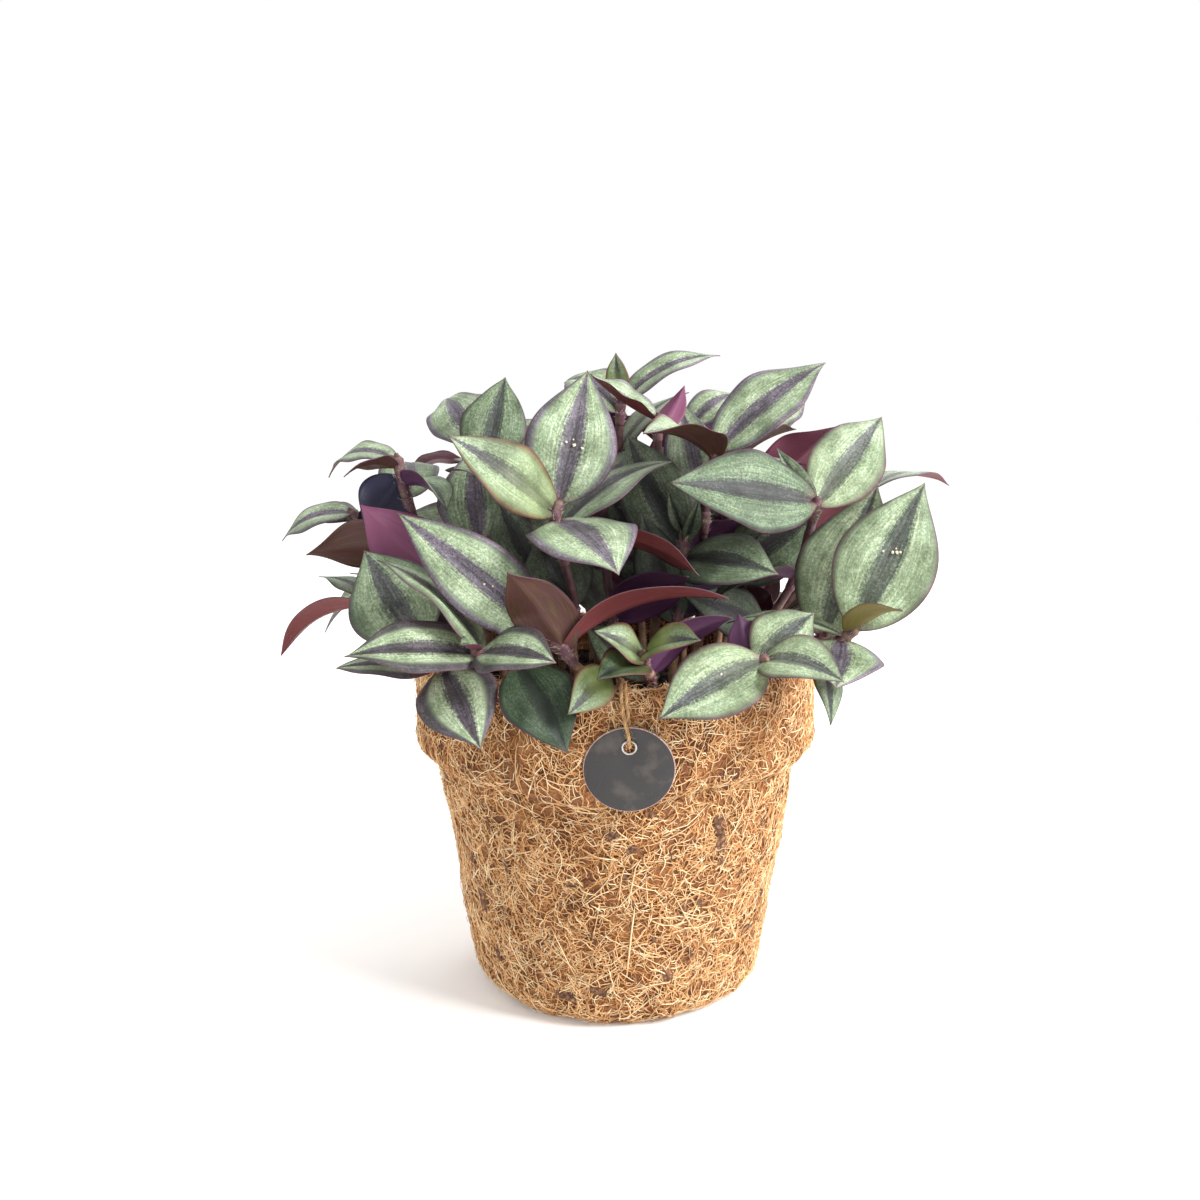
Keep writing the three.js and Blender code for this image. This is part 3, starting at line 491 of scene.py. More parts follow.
# Coir fibres. The felt's outer strands: short curly ones matted in all directions, paler straws
# laid over them, darker ones between, and loose hairs that stand out along the pot's outline.
FIBRE_FOOT = 0.048
FIBRE_TOP = runs[-1] - 6 * MM
RIM_RUN = runs[np.argmax(profile[:, 1])]
FIBRE_POINTS = 7
FLAP_SHADE = 1.8 * MM
FLAP_SHADE_DEPTH = 0.5
FLAP_TOP = POT_HEIGHT - 12 * MM
STRAWS = [  # degrees from the front and height of both ends, thickness in mm, shade from 0 to 1
    (-12.3, 72.2, 1.9, 66.4, 0.55, 0.98), (7.2, 72.6, 27.4, 78.7, 0.35, 0.9),
    (9.4, 59.3, 10.4, 49.6, 0.5, 0.98), (18.3, 52.5, 30.4, 34.5, 0.4, 0.92),
    (6.2, 49.9, 3.9, 22.4, 0.7, 0.12), (-22, 38, -14, 21, 0.4, 0.9), (-36, 60, -27, 44, 0.4, 0.88),
    (20, 47, 36, 41, 0.4, 0.9), (-8, 30, 6, 34, 0.35, 0.88), (12, 24, 27, 30, 0.4, 0.93),
    # Dark strands that paint the shadow under the flap and beside it.
    (-24.6, 89.6, -17, 89.2, 1, 0), (-19, 89, -11, 88.8, 1.1, 0), (-24, 88.7, -14, 88.3, 0.8, 0.02),
    (-13.5, 88.9, -7, 88.3, 1, 0), (-22, 89.4, -15, 88.9, 0.9, 0), (8.5, 88.8, 17, 90.4, 0.7, 0.05),
    (-25.2, 90.2, -25, 99, 0.7, 0.02), (-25.4, 98, -25, 108, 0.6, 0.05), (-25.3, 93, -25.2, 103, 0.6, 0.04),
]


def fibres(seed, count, length, thickness, lift, curl, tone, rise=0.0, band=(FIBRE_FOOT, FIBRE_TOP)):
    """Draws strands on the pot. Each pair is a range; curl is the turn in radians from end to end,
    tone the middle and spread of their shades, rise how far their far end stands out."""
    draw = np.random.default_rng(seed)
    share = np.linspace(0, 1, FIBRE_POINTS)
    lengths = draw.uniform(*length, (count, 1))
    turns = draw.normal(0, curl, (count, 1)) + draw.normal(0, 0.35 * curl, (count, FIBRE_POINTS))
    headings = draw.uniform(-math.pi, math.pi, (count, 1)) + turns * share
    step = lengths / (FIBRE_POINTS - 1)
    climb = np.cumsum(step * np.cos(headings), axis=1)
    run = np.clip(draw.uniform(*band, (count, 1)) + climb, FIBRE_FOOT, runs[-1])
    sweep = np.cumsum(step * np.sin(headings), axis=1)
    around = draw.uniform(-math.pi, math.pi, (count, 1)) + sweep / at_run(run, profile[:, 0])
    around = (around + math.pi) % (2 * math.pi) - math.pi
    bow = np.sin(math.pi * share) ** 0.7
    waves = np.sin(share * draw.uniform(4, 11, (count, 1)) + draw.uniform(0, 6, (count, 1)))
    height = draw.uniform(*lift, (count, 1)) * bow * (0.8 + 0.35 * waves) - 0.25 * MM * (1 - bow)
    height += draw.uniform(0.2, 1, (count, 1)) * rise * share ** 2
    lines = on_pot(around, run, height)
    taper = np.minimum(1, 0.35 + 4 * np.minimum(share, 1 - share))
    radii = draw.uniform(*thickness, (count, 1)) / 2 * taper
    middle = read_patch(shades, around[:, 3], run[:, 3])
    where = at_run(run, profile[:, 1])
    over, beside = where > flap_edge(around), (around > FLAP_START) & (around < FLAP_STOP + 0.1)
    # Strands in a band just under the flap's edge are darkened to paint its shadow, and strands that reach
    # into the band from outside it are dropped.
    in_shade = ~over & (where > flap_edge(around) - FLAP_SHADE) & beside
    # Strands on the collar are lightened as painted light, and those on the flap a little more.
    collar_light_and_flap_tone = 0.05 * (where[:, 3] > COLLAR_BOTTOM) + 0.06 * (over & beside)[:, 3]
    tones = draw.normal(*tone, count) + 0.12 * middle + collar_light_and_flap_tone - FLAP_SHADE_DEPTH * in_shade[:, 3]
    bridging = over.any(1) & ~over.all(1) & beside[:, 3] | in_shade.any(1) & ~in_shade[:, 3]
    past_side = around > FLAP_START
    bridging |= past_side.any(1) & ~past_side.all(1) & over[:, 3] & (where[:, 3] < FLAP_TOP)
    return lines[~bridging], radii[~bridging], np.clip(tones, 0, 1)[~bridging]


def run_at(height):
    """The run up the outside at which the pot has this height."""
    rising = np.arange(len(runs)) <= np.argmax(profile[:, 1])
    return np.interp(height, profile[rising, 1], runs[rising])


def straws():
    """The straws that lie singly on the pot's front, and dark strands that paint the shadow along the flap.
    """
    share = np.linspace(0, 1, FIBRE_POINTS)
    rows = np.array(STRAWS)[:, :, None]
    around = np.radians(rows[:, 0] + (rows[:, 2] - rows[:, 0]) * share)
    height = (rows[:, 1] + (rows[:, 3] - rows[:, 1]) * share + 1.2 * np.sin(share * 4 + rows[:, 1])) * MM
    lines = on_pot(around, run_at(height), 0.9 * MM * np.sin(math.pi * share) ** 0.5)
    return lines, rows[:, 4] / 2 * MM * np.minimum(1, 0.4 + 3 * np.minimum(share, 1 - share)), rows[:, 5, 0]


FIBRE_LAYERS = {
    "coir_under_mat": [
        fibres(11, 4800, (6 * MM, 14 * MM), (0.34 * MM, 0.56 * MM), (0, 0.35 * MM), 1.6, (0.4, 0.14)),
    ],
    "coir_mat": [
        fibres(12, 4800, (5 * MM, 13 * MM), (0.28 * MM, 0.46 * MM), (0, 0.5 * MM), 1.7, (0.52, 0.17)),
    ],
    "coir_second_mat": [
        fibres(17, 4800, (4 * MM, 12 * MM), (0.25 * MM, 0.42 * MM), (0.1 * MM, 0.5 * MM), 1.8, (0.57, 0.17)),
    ],
    "coir_over_mat": [
        fibres(13, 4800, (4 * MM, 11 * MM), (0.22 * MM, 0.36 * MM), (0.15 * MM, 0.6 * MM), 1.9, (0.62, 0.17)),
    ],
    "coir_straws": [
        straws(),
        fibres(14, 480, (14 * MM, 30 * MM), (0.22 * MM, 0.42 * MM), (0.5 * MM, 0.9 * MM), 0.8, (0.78, 0.1)),
        fibres(15, 420, (8 * MM, 24 * MM), (0.3 * MM, 0.5 * MM), (0.2 * MM, 0.6 * MM), 0.6, (0.24, 0.08)),
        fibres(16, 2200, (4 * MM, 9 * MM), (0.12 * MM, 0.22 * MM), (0.2 * MM, 0.8 * MM), 1.6,
               (0.66, 0.13), 1.8 * MM),
        fibres(18, 1200, (4 * MM, 12 * MM), (0.12 * MM, 0.24 * MM), (0.4 * MM, 1.6 * MM), 2.2,
               (0.68, 0.13), 3 * MM, (RIM_RUN - 9 * MM, RIM_RUN + 5 * MM)),
    ],
}
strand, strand_shader = finish_of("coir strand", 0.75)
strand_grain = noisy(strand_shader, place_of(strand_shader), 420, 2)
strand_tone = maths(strand_shader, "ADD", attribute_of(strand_shader, "tone"),
                    scaled(strand_shader, strand_grain, 0.3))
feed(strand_shader.inputs["Base Color"], shaded(strand_shader, strand_tone, [
    (0.2, "#553220"), (0.4, "#9a6234"), (0.58, "#cd935a"), (0.78, "#e9bb84"), (1.0, "#f8e2b8"),
]))
for name, layers in FIBRE_LAYERS.items():
    lines, radii, tones = (np.concatenate(parts) for parts in zip(*layers))
    mat = piece_of(name, strands_mesh(name, lines, radii, tones), [strand])
    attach(mat, "root")


# Husk flecks. Bits of dark coconut husk and bark, pressed into the felt with the fibres.
HUSK_FLECKS = [  # degrees from the front, height, length and width in mm, turn in degrees
    (34, 76, 9, 5.5, 10), (35, 68, 10, 5, -5), (35, 62, 4, 3, 30), (-54, 42, 14, 4, 8),
    (5, 71, 5, 3.5, 80), (29, 47, 5, 2.5, 30), (23, 46, 4, 3, 60), (-2, 77, 6, 4, 70),
    (19, 21, 6, 4, 20), (-6, 16, 8, 3, 80), (-19, 13, 10, 4, 75), (-15, 57, 5, 2.5, 85),
    (3, 60, 4, 2, 15), (-30, 88, 6, 3, 40), (45, 55, 4, 2.5, 0), (10, 84, 5, 3, 75),
    (-38, 60, 6, 2.5, 20), (28, 27, 5, 3, 50), (-48, 22, 7, 3, 10), (13, 36, 5, 2, 25),
]
LOOSE_FLECKS = 70
fleck_draw = np.random.default_rng(21)
fleck_rows = [(math.radians(a), z * MM, l * MM, w * MM, math.radians(t)) for a, z, l, w, t in HUSK_FLECKS]
for _ in range(LOOSE_FLECKS):
    fleck_rows.append((
        fleck_draw.uniform(0.9, 2 * math.pi - 0.9), fleck_draw.uniform(8, 122) * MM,
        fleck_draw.uniform(3, 8) * MM, fleck_draw.uniform(1.5, 3.5) * MM, fleck_draw.uniform(0, 3),
    ))
flecks = bmesh.new()
for around, height, length, width, turn in fleck_rows:
    run = run_at(height)
    middle, out = on_pot(around, run, 0.15 * MM), at_run(run, profile_out[:, 0])
    normal = Vector((out * math.sin(around), -out * math.cos(around), at_run(run, profile_out[:, 1])))
    made = bmesh.ops.create_icosphere(flecks, subdivisions=2, radius=1)["verts"]
    for v in made:
        v.co *= 1 + 0.28 * fleck_draw.normal()
    bmesh.ops.smooth_vert(flecks, verts=made, factor=0.4, use_axis_x=True, use_axis_y=True, use_axis_z=True)
    bmesh.ops.scale(flecks, verts=made, vec=(width / 2, length / 2, 0.5 * MM))
    bmesh.ops.rotate(flecks, verts=made, matrix=Matrix.Rotation(turn, 3, "Z"))
    bmesh.ops.rotate(flecks, verts=made, matrix=normal.to_track_quat("Z", "Y").to_matrix())
    bmesh.ops.translate(flecks, verts=made, vec=middle)
husk, husk_shader = finish_of("husk", 0.85)
husk_grain = noisy(husk_shader, place_of(husk_shader), 700, 5)
feed(husk_shader.inputs["Base Color"], shaded(husk_shader, husk_grain, [
    (0.3, "#2b1a10"), (0.46, "#553726"), (0.58, "#7f573a"), (0.72, "#b98a58"),
]))
bumped(husk_shader, husk_grain, 0.5 * MM)
husk_flecks = piece_of("husk_flecks", mesh_of("husk_flecks", flecks), [husk])
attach(husk_flecks, "root")


# Soil. Dark moist potting soil that fills the pot to a finger below the rim, crumbly on top.
SOIL_EDGE = 64.4 * MM
SOIL_CROWN = 3 * MM
SOIL_RINGS = 26
SOIL_TURNS = 72
SOIL_ROUGHNESS = 1.3 * MM
CRUMB_COUNT = 420
soil_draw = np.random.default_rng(31)
ground = bmesh.new()
soil_sides = [
    (0, WALL + 0.3 * MM), (inner_foot - WALL, WALL + 0.3 * MM), (inner_foot - 1 * MM, FOOT_ROUND),
    (BODY_TOP_RADIUS - WALL - 1 * MM, COLLAR_BOTTOM),
]
soil_top = [
    (SOIL_EDGE * (1 - k / SOIL_RINGS), SOIL_LEVEL + SOIL_CROWN * k / SOIL_RINGS)
    for k in range(SOIL_RINGS + 1)
]
ground_line = [ground.verts.new((radius, 0, height)) for radius, height in soil_sides + soil_top]
ground_edges = [ground.edges.new(pair) for pair in zip(ground_line, ground_line[1:])]
bmesh.ops.spin(
    ground, geom=ground_line + ground_edges, cent=(0, 0, 0), axis=(0, 0, 1), dvec=(0, 0, 0),
    angle=2 * math.pi, steps=SOIL_TURNS, use_merge=True,
)
bmesh.ops.remove_doubles(ground, verts=ground.verts, dist=1e-6)
for v in ground.verts:
    if v.co.z > SOIL_LEVEL - 1 * MM and v.co.xy.length < SOIL_EDGE - 1 * MM:
        v.co.z += SOIL_ROUGHNESS * soil_draw.normal() * 0.5
bmesh.ops.recalc_face_normals(ground, faces=ground.faces)
for _ in range(CRUMB_COUNT):
    radius, angle = SOIL_EDGE * 0.97 * soil_draw.uniform() ** 0.5, soil_draw.uniform(0, 2 * math.pi)
    top = SOIL_LEVEL + SOIL_CROWN * (1 - radius / SOIL_EDGE)
    made = bmesh.ops.create_icosphere(ground, subdivisions=1, radius=soil_draw.uniform(0.5, 1.9) * MM)
    for v in made["verts"]:
        v.co *= 1 + 0.2 * soil_draw.normal()
    spot = (radius * math.cos(angle), radius * math.sin(angle), top)
    bmesh.ops.translate(ground, verts=made["verts"], vec=spot)
earth, earth_shader = finish_of("potting soil", 0.95)
earth_grain = noisy(earth_shader, place_of(earth_shader), 500, 6)
feed(earth_shader.inputs["Base Color"], shaded(earth_shader, earth_grain, [
    (0.3, "#15100c"), (0.5, "#2c1e17"), (0.65, "#3f2c20"), (0.8, "#5d4633"),
]))
bumped(earth_shader, earth_grain, 0.6 * MM)
soil = piece_of("potting_soil", mesh_of("potting_soil", ground), [earth])
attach(soil, "root")
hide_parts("soil")


# Tag. A thin round card with a bare dark grey face, faintly smudged, and an edge painted lighter as
# a highlight. It hangs from the twine by its eyelet and leans in at the foot against the collar.
TAG_THICKNESS = 1 * MM
EYELET_RISE = 8 * MM
EYELET_RADIUS = 2.6 * MM
EYELET_BORE = 1.85 * MM
EYELET_BARREL = 2.1 * MM
EYELET_PLAY = 0.12 * MM
TAG_SEGMENTS = 96
EDGE_ROUND = 0.3 * MM
hang_tag = Matrix.Translation(TAG_CENTRE) @ Matrix.Rotation(math.pi / 2 + TAG_LEAN, 4, "X")
card = bmesh.new()
rims = []
for radius, rise in ((TAG_RADIUS, 0), (EYELET_BARREL + EYELET_PLAY, EYELET_RISE)):
    made = bmesh.ops.create_circle(card, segments=TAG_SEGMENTS, radius=radius)["verts"]
    bmesh.ops.translate(card, verts=made, vec=(0, rise, -TAG_THICKNESS / 2))
    rims += {edge for v in made for edge in v.link_edges}
bmesh.ops.bridge_loops(card, edges=rims)
raised = bmesh.ops.extrude_face_region(card, geom=card.faces[:])["geom"]
bmesh.ops.translate(
    card, verts=[g for g in raised if isinstance(g, bmesh.types.BMVert)], vec=(0, 0, TAG_THICKNESS),
)
bmesh.ops.recalc_face_normals(card, faces=card.faces)
sharp = [e for e in card.edges if e.calc_face_angle(0) > 1]
bmesh.ops.bevel(card, geom=sharp, offset=EDGE_ROUND, segments=2, profile=0.5, affect="EDGES", material=-1)
for face in card.faces:
    face.material_index = 1 if abs(face.normal.z) < 0.97 else 0
    face.smooth = True
bmesh.ops.transform(card, matrix=hang_tag, verts=card.verts)
face_finish, face_shader = finish_of("tag face", 0.42)
face_place = place_of(face_shader)
smudges = noisy(face_shader, face_place, 120, 3, 0.5)
face_grain = noisy(face_shader, face_place, 2400, 3)
feed(face_shader.inputs["Base Color"], shaded(face_shader, smudges, [
    (0.4, "#262425"), (0.52, "#2e2b2b"), (0.6, "#474240"), (0.76, "#5f5854"),
]))
feed(face_shader.inputs["Roughness"], step_up(face_shader, smudges, 0.1, 0.9))
bumped(face_shader, face_grain, 0.03 * MM)
# The edge's pale pinkish colour is a painted highlight.
edge_finish, edge_shader = finish_of("tag edge", 0.35)
edge_grain = noisy(edge_shader, place_of(edge_shader), 1500, 3)
feed(edge_shader.inputs["Base Color"], shaded(edge_shader, edge_grain, [
    (0.3, "#8d6f62"), (0.5, "#b7958a"), (0.7, "#d9bfb2"),
]))
tag = piece_of("tag_card", mesh_of("tag_card", card), [face_finish, edge_finish])
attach(tag, "root")
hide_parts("tag")


# Eyelet. A bright metal rivet, rolled over on both faces of the tag, that the twine runs through.
LIP_HEIGHT = 0.38 * MM
LIP_STEPS = 7
EYELET_TURNS = 64
lip_middle = (EYELET_BORE + EYELET_RADIUS) / 2
lip_reach = (EYELET_RADIUS - EYELET_BORE) / 2
lip_foot = TAG_THICKNESS / 2 + EYELET_PLAY
lip = [
    (lip_middle + lip_reach * math.cos(a), lip_foot + LIP_HEIGHT * math.sin(a))
    for a in np.linspace(0, math.pi, LIP_STEPS)
]
rivet_line = [(EYELET_BARREL, lip_foot)] + lip + [(r, -h) for r, h in reversed(lip)]
rivet_line.append((EYELET_BARREL, -lip_foot))
rivet = bmesh.new()
corners = [rivet.verts.new((radius, 0, height)) for radius, height in rivet_line]
edges = [rivet.edges.new(pair) for pair in zip(corners, corners[1:] + corners[:1])]
bmesh.ops.spin(
    rivet, geom=corners + edges, cent=(0, 0, 0), axis=(0, 0, 1), dvec=(0, 0, 0),
    angle=2 * math.pi, steps=EYELET_TURNS, use_merge=True,
)
bmesh.ops.remove_doubles(rivet, verts=rivet.verts, dist=1e-7)
bmesh.ops.recalc_face_normals(rivet, faces=rivet.faces)
for face in rivet.faces:
    face.smooth = True
bmesh.ops.translate(rivet, verts=rivet.verts, vec=(0, EYELET_RISE, 0))
bmesh.ops.transform(rivet, matrix=hang_tag, verts=rivet.verts)
nickel, nickel_shader = finish_of("eyelet metal", 0.25)
nickel_shader.inputs["Metallic"].default_value = 1
nickel_grain = noisy(nickel_shader, place_of(nickel_shader), 1800, 3)
feed(nickel_shader.inputs["Base Color"], shaded(nickel_shader, nickel_grain, [
    (0.3, "#8f8984"), (0.5, "#bdb7b2"), (0.8, "#dcd8d4"),
]))
feed(nickel_shader.inputs["Roughness"], step_up(nickel_shader, nickel_grain, -0.6, 1.9))
eyelet = piece_of("tag_eyelet", mesh_of("tag_eyelet", rivet), [nickel])
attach(eyelet, "root")
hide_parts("eyelet")


# Leafy stems. Fleshy stems spring from the soil, and each leaf grows on one of them: a thin boat-
# shaped blade, striped silver and purple above and purple below, whose foot wraps the stem as a
# short hairy sheath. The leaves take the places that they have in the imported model.
FRONT_SHOOTS = [  # name, root, nodes, and leaves: node, tip, face, width, arch, fold, looks
    ("stem_01", (-14, -34),
     [[-15, -42, 140], [-14, -46, 150], [-18, -50, 170], [-20, -51, 183], [-19, -50, 186]], [
        (3, [-54, -62, 209], [-0.3, -0.7, 0.7], 23, 0.06, 0.4, "young", "brown"),
        (4, [-9, -42, 231], [0.1, -1, 0.2], 31, 0.03, 0.3, "silver"),
        (3, [1, -92, 168], [0.1, -0.5, 0.85], 36, 0.08, 0.25, "silver", "magenta"),
        (1, [-27, -38, 175], [-0.1, -0.9, 0.4], 25, 0.04, 0.3, "green", "violet"),
    ]),
    ("stem_02", (-38, -18), [[-41, -18, 150], [-45, -18, 178], [-47, -16, 195], [-50, -12, 204]], [
        (2, [-40, -4, 228], [0, -0.9, 0.4], 24, 0.05, 0.35, "green"),
        (3, [-65, 24, 220], [-0.2, -0.7, 0.6], 24, 0.1, 0.35, "silver"),
        (2, [-29, -6, 220], [-0.4, -0.85, 0.4], 23, 0.05, 0.4, "violet"),
        (0, [-10, -24, 150], [0.1, -0.8, 0.6], 18, 0.1, 0.3, "dark"),
    ]),
    ("stem_03", (0, 6), [[0, 8, 160], [1, 8, 200], [2, 6, 221]], [
        (2, [0, 4, 237], [-0.3, -1, 0.2], 9, 0.02, 0.6, "olive", "olive"),
        (2, [39, 12, 236], [0.1, -0.35, 0.9], 18, 0.13, 0.4, "silver", "maroon"),
        (2, [-20, 27, 226], [-0.2, -0.5, 0.85], 20, 0.22, 0.3, "silver"),
    ]),
    ("stem_04", (14, -14), [[15, -14, 160], [15, -14, 195], [15, -14, 213]], [
        (2, [-9, -16, 229], [0, -0.2, 1], 20, -0.05, 0.7, "silver", "maroon"),
        (2, [25, -3, 225], [0.6, 0.9, 0.3], 10, 0.05, 0.6, "young", "magenta"),
    ]),
    ("stem_05", (30, -14), [[31, -14, 150], [32, -18, 180], [34, -20, 193], [35, -23, 202]], [
        (3, [75, -10, 233], [-0.4, -0.75, 0.6], 27, 0.06, 0.4, "silver"),
        (3, [9, -46, 209], [0.1, -0.1, 1], 24, 0.1, 0.7, "young", "brown"),
        (3, [38, -16, 214], [0.3, -0.9, 0.3], 8, 0.03, 0.9, "young"),
        (1, [23, 2, 220], [0.1, -0.95, 0.3], 22, 0.04, 0.35, "silver"),
        (0, [52, -24, 174], [0, -0.9, 0.4], 20, 0.05, 0.3, "dark"),
    ]),
    ("stem_06", (38, 0), [[40, -2, 155], [42, -5, 185], [43, -4, 197], [50, 8, 205]], [
        (2, [67, 4, 209], [0, 0, 1], 24, 0.08, 0.7, "silver", "brown"),
        (3, [74, 28, 220], [-0.2, -0.6, 0.8], 18, 0.05, 0.3, "silver", "magenta"),
        (0, [76, -6, 180], [0.1, -0.9, 0.4], 27, 0.06, 0.3, "dark"),
    ]),
    ("stem_07", (50, -14), [[54, -20, 138], [64, -22, 157], [68, -26, 173], [68, -41, 186]], [
        (3, [17, -64, 194], [-0.1, -0.9, 0.45], 29, 0.04, 0.3, "dark"),
        (3, [94, -18, 214], [0.1, -0.85, 0.5], 26, 0.05, 0.35, "pale"),
        (3, [56, -44, 204], [0, -0.9, 0.4], 8, 0.03, 0.9, "green"),
        (1, [32, -56, 153], [0, 0.45, 0.85], 20, 0.1, 0.3, "green", "violet"),
    ]),
    ("stem_08", (20, -28), [[22, -30, 145], [23, -31, 158], [24, -31, 174]], [
        (2, [18, -34, 189], [-0.2, -0.9, 0.3], 6, 0.03, 0.9, "green"),
        (2, [28, -33, 189], [0.2, -0.9, 0.3], 6, 0.03, 0.9, "green"),
        (2, [4, -12, 208], [-0.4, -0.85, 0.3], 26, 0.05, 0.35, "green"),
        (2, [54, -55, 163], [0.1, -0.75, 0.65], 27, 0.07, 0.3, "green"),
    ]),
    ("stem_09", (2, -38), [[-1, -43, 145], [-3, -47, 165], [-1, -48, 175]], [
        (2, [27, -66, 164], [0.3, 0.5, 0.8], 20, 0.08, 0.3, "green", "maroon"),
        (0, [24, -56, 165], [0, 0.8, 0.6], 22, 0.08, 0.3, "green", "violet"),
    ]),
    ("stem_10", (48, 0), [[62, 0, 140], [78, -2, 165], [88, -4, 182], [92, -4, 186]], [
        (3, [125, 6, 188], [0, 0.05, 1], 22, 0.17, 0.3, "silver", "maroon"),
    ]),
    ("stem_11", (41, -32),
     [[48, -38, 129], [57, -46, 133], [68, -54, 137], [76, -57, 142], [79, -58, 145]], [
        (4, [103, -48, 193], [-0.1, -1, 0.15], 34, 0.03, 0.25, "fair"),
        (4, [90, -80, 155], [0.3, -0.2, 0.9], 14, 0.1, 0.6, "olive", "olive"),
        (4, [69, -84, 131], [0, -0.75, 0.65], 29, 0.05, 0.3, "silver"),
        (2, [69, -76, 117], [0.5, -0.85, 0.1], 13, 0.05, 0.3, "green"),
    ]),
    ("stem_12", (50, -22), [[62, -34, 133], [71, -42, 139]], [
        (1, [91, -30, 191], [-0.3, -0.95, 0.2], 34, 0.03, 0.3, "fair"),
    ]),
    ("stem_13", (32, -42), [[37, -50, 129], [41, -59, 133], [45, -72, 137], [47, -79, 139]], [
        (3, [13, -96, 124], [-0.1, -0.75, 0.65], 27, 0.08, 0.3, "pale"),
        (3, [67, -98, 134], [0.1, -0.7, 0.7], 22, 0.12, 0.45, "pale", "olive"),
        (2, [65, -62, 150], [-0.1, -0.75, 0.6], 22, 0.06, 0.3, "pale"),
        (2, [40, -66, 152], [-0.2, 0.8, 0.5], 12, 0.05, 0.5, "violet", "violet"),
    ]),
    ("stem_16", (-32, -44), [[-35, -54, 131], [-40, -64, 135], [-44, -79, 142]], [
        (2, [-48, -89, 146], [0, -0.6, 0.8], 7, 0.05, 0.8, "green"),
        (2, [-18, -97, 142], [0.1, -0.65, 0.75], 23, 0.06, 0.4, "banded"),
        (2, [-84, -88, 142], [-0.1, -0.6, 0.8], 24, 0.07, 0.4, "banded"),
    ]),
    ("stem_15", (-8, -48), [[-11, -63, 131.5], [-14, -68, 136], [-17, -70, 141], [-22, -68, 145]], [
        (3, [-69, -72, 186], [-0.4, -0.7, 0.6], 25, 0.06, 0.35, "silver"),
        (2, [37, -62, 156], [0, 0.35, 0.95], 26, 0.12, 0.5, "silver", "maroon"),
        (2, [-33, -92, 169], [0, 0.9, 0.4], 21, 0.06, 0.4, "silver", "brown"),
    ]),
    ("stem_14", (12, -52), [[11, -66, 131.5], [9, -71, 136], [9, -75, 140]], [
        (2, [26, -92, 148], [0.1, -0.65, 0.75], 17, 0.08, 0.5, "olive"),
        (2, [-7, -82, 149], [-0.1, -0.6, 0.8], 15, 0.06, 0.5, "young", "magenta"),
        (2, [-5, -92, 138], [-0.1, -0.7, 0.7], 15, 0.08, 0.5, "bronze"),
        (0, [38, -64, 150], [0.05, 0.5, 0.85], 24, 0.12, 0.35, "green", "violet"),
        (0, [-13, -58, 146], [-0.2, -0.7, 0.6], 15, 0.05, 0.4, "green"),
    ]),
    ("stem_17", (-42, -38), [[-49, -49, 133.5], [-58, -66, 133.5]], [
        (1, [-91, -68, 134], [0, -0.3, 1], 20, 0.05, 0.3, "banded"),
        (1, [-42, -90, 113], [-0.1, -0.75, 0.65], 27, 0.05, 0.3, "banded"),
    ]),
    ("stem_18", (-22, -50), [[-27, -62, 132], [-32, -70, 136]], [
        (1, [-15, -88, 111], [0.2, -0.9, 0.4], 25, 0.08, 0.3, "deep"),
    ]),
    ("stem_19", (-48, -30), [[-55, -38, 131], [-66, -51, 139]], [
        (1, [-85, -46, 170], [-0.1, -0.9, 0.45], 33, 0.04, 0.3, "grey"),
        (0, [-66, -20, 146], [0.1, -0.8, 0.6], 18, 0.1, 0.3, "dark"),
    ]),
    ("stem_20", (-52, -8), [[-68, -12, 134], [-82, -15, 142], [-90, -16, 146]], [
        (2, [-123, -14, 127], [-0.1, 0.35, 0.93], 20, 0.16, 0.5, "silver", "maroon"),
    ]),
    ("stem_22", (-38, -30), [[-46, -38, 142], [-56, -44, 158], [-54, -43, 167]], [
        (1, [-87, -40, 185], [-0.2, 0.9, -0.3], 26, 0.08, 0.3, "green", "magenta"),
    ]),
    ("stem_21", (-46, -14), [[-56, -18, 145], [-66, -20, 165], [-74, -21, 185], [-77, -21, 199]], [
        (3, [-104, -10, 192], [-0.1, -0.35, 0.95], 17, 0.22, 0.3, "silver", "maroon"),
        (3, [-94, -34, 196], [0, 0.4, 0.9], 15, 0.15, 0.3, "silver", "brown"),
        (3, [-88, -29, 176], [0.2, 0.95, 0.3], 20, 0.08, 0.3, "green", "navy"),
        (3, [-57, -44, 183], [0.4, -0.1, 0.9], 16, 0.12, 0.8, "green", "violet"),
        (1, [-113, -12, 164], [0.1, 0.8, 0.6], 27, 0.1, 0.3, "silver", "brown"),
    ]),
    ("stem_23", (-50, 6), [[-66, 3, 140], [-84, 2, 162], [-98, 2, 178]], [
        (2, [-126, 6, 167], [-0.2, -0.4, 0.9], 20, 0.15, 0.3, "silver"),
        (2, [-120, 16, 176], [-0.2, -0.4, 0.9], 14, 0.12, 0.3, "silver"),
        (2, [-87, -10, 186], [0, -0.6, 0.8], 13, 0.08, 0.4, "silver"),
    ]),
    ("stem_24", (-24, 2), [[-24, 6, 160], [-23, 5, 201]], [
        (1, [-19, 8, 225], [0.9, 0.5, 0.2], 16, 0.05, 0.5, "silver", "magenta"),
    ]),
    ("stem_25", (26, 14), [[27, 14, 165], [28, 14, 210]], [
        (1, [48, 28, 222], [0, -0.5, 0.9], 18, 0.12, 0.3, "silver", "magenta"),
    ]),
    ("stem_26", (-3, -50), [[-3, -66, 131.5], [-3, -73, 134.5]], [
        (1, [-15, -90, 124], [0.5, -0.7, 0.5], 14, 0.06, 0.5, "olive", "violet"),
    ]),
    ("stem_27", (-24, -30), [[-25, -33, 145], [-27, -34, 161]], [
        (1, [-41, -28, 185], [-0.3, -0.85, 0.4], 22, 0.04, 0.3, "green"),
    ]),
    ("stem_28", (-30, -18), [[-42, -26, 150], [-48, -28, 171]], [
        (1, [-51, -22, 204], [-0.1, -0.95, 0.3], 28, 0.04, 0.3, "violet"),
    ]),
]
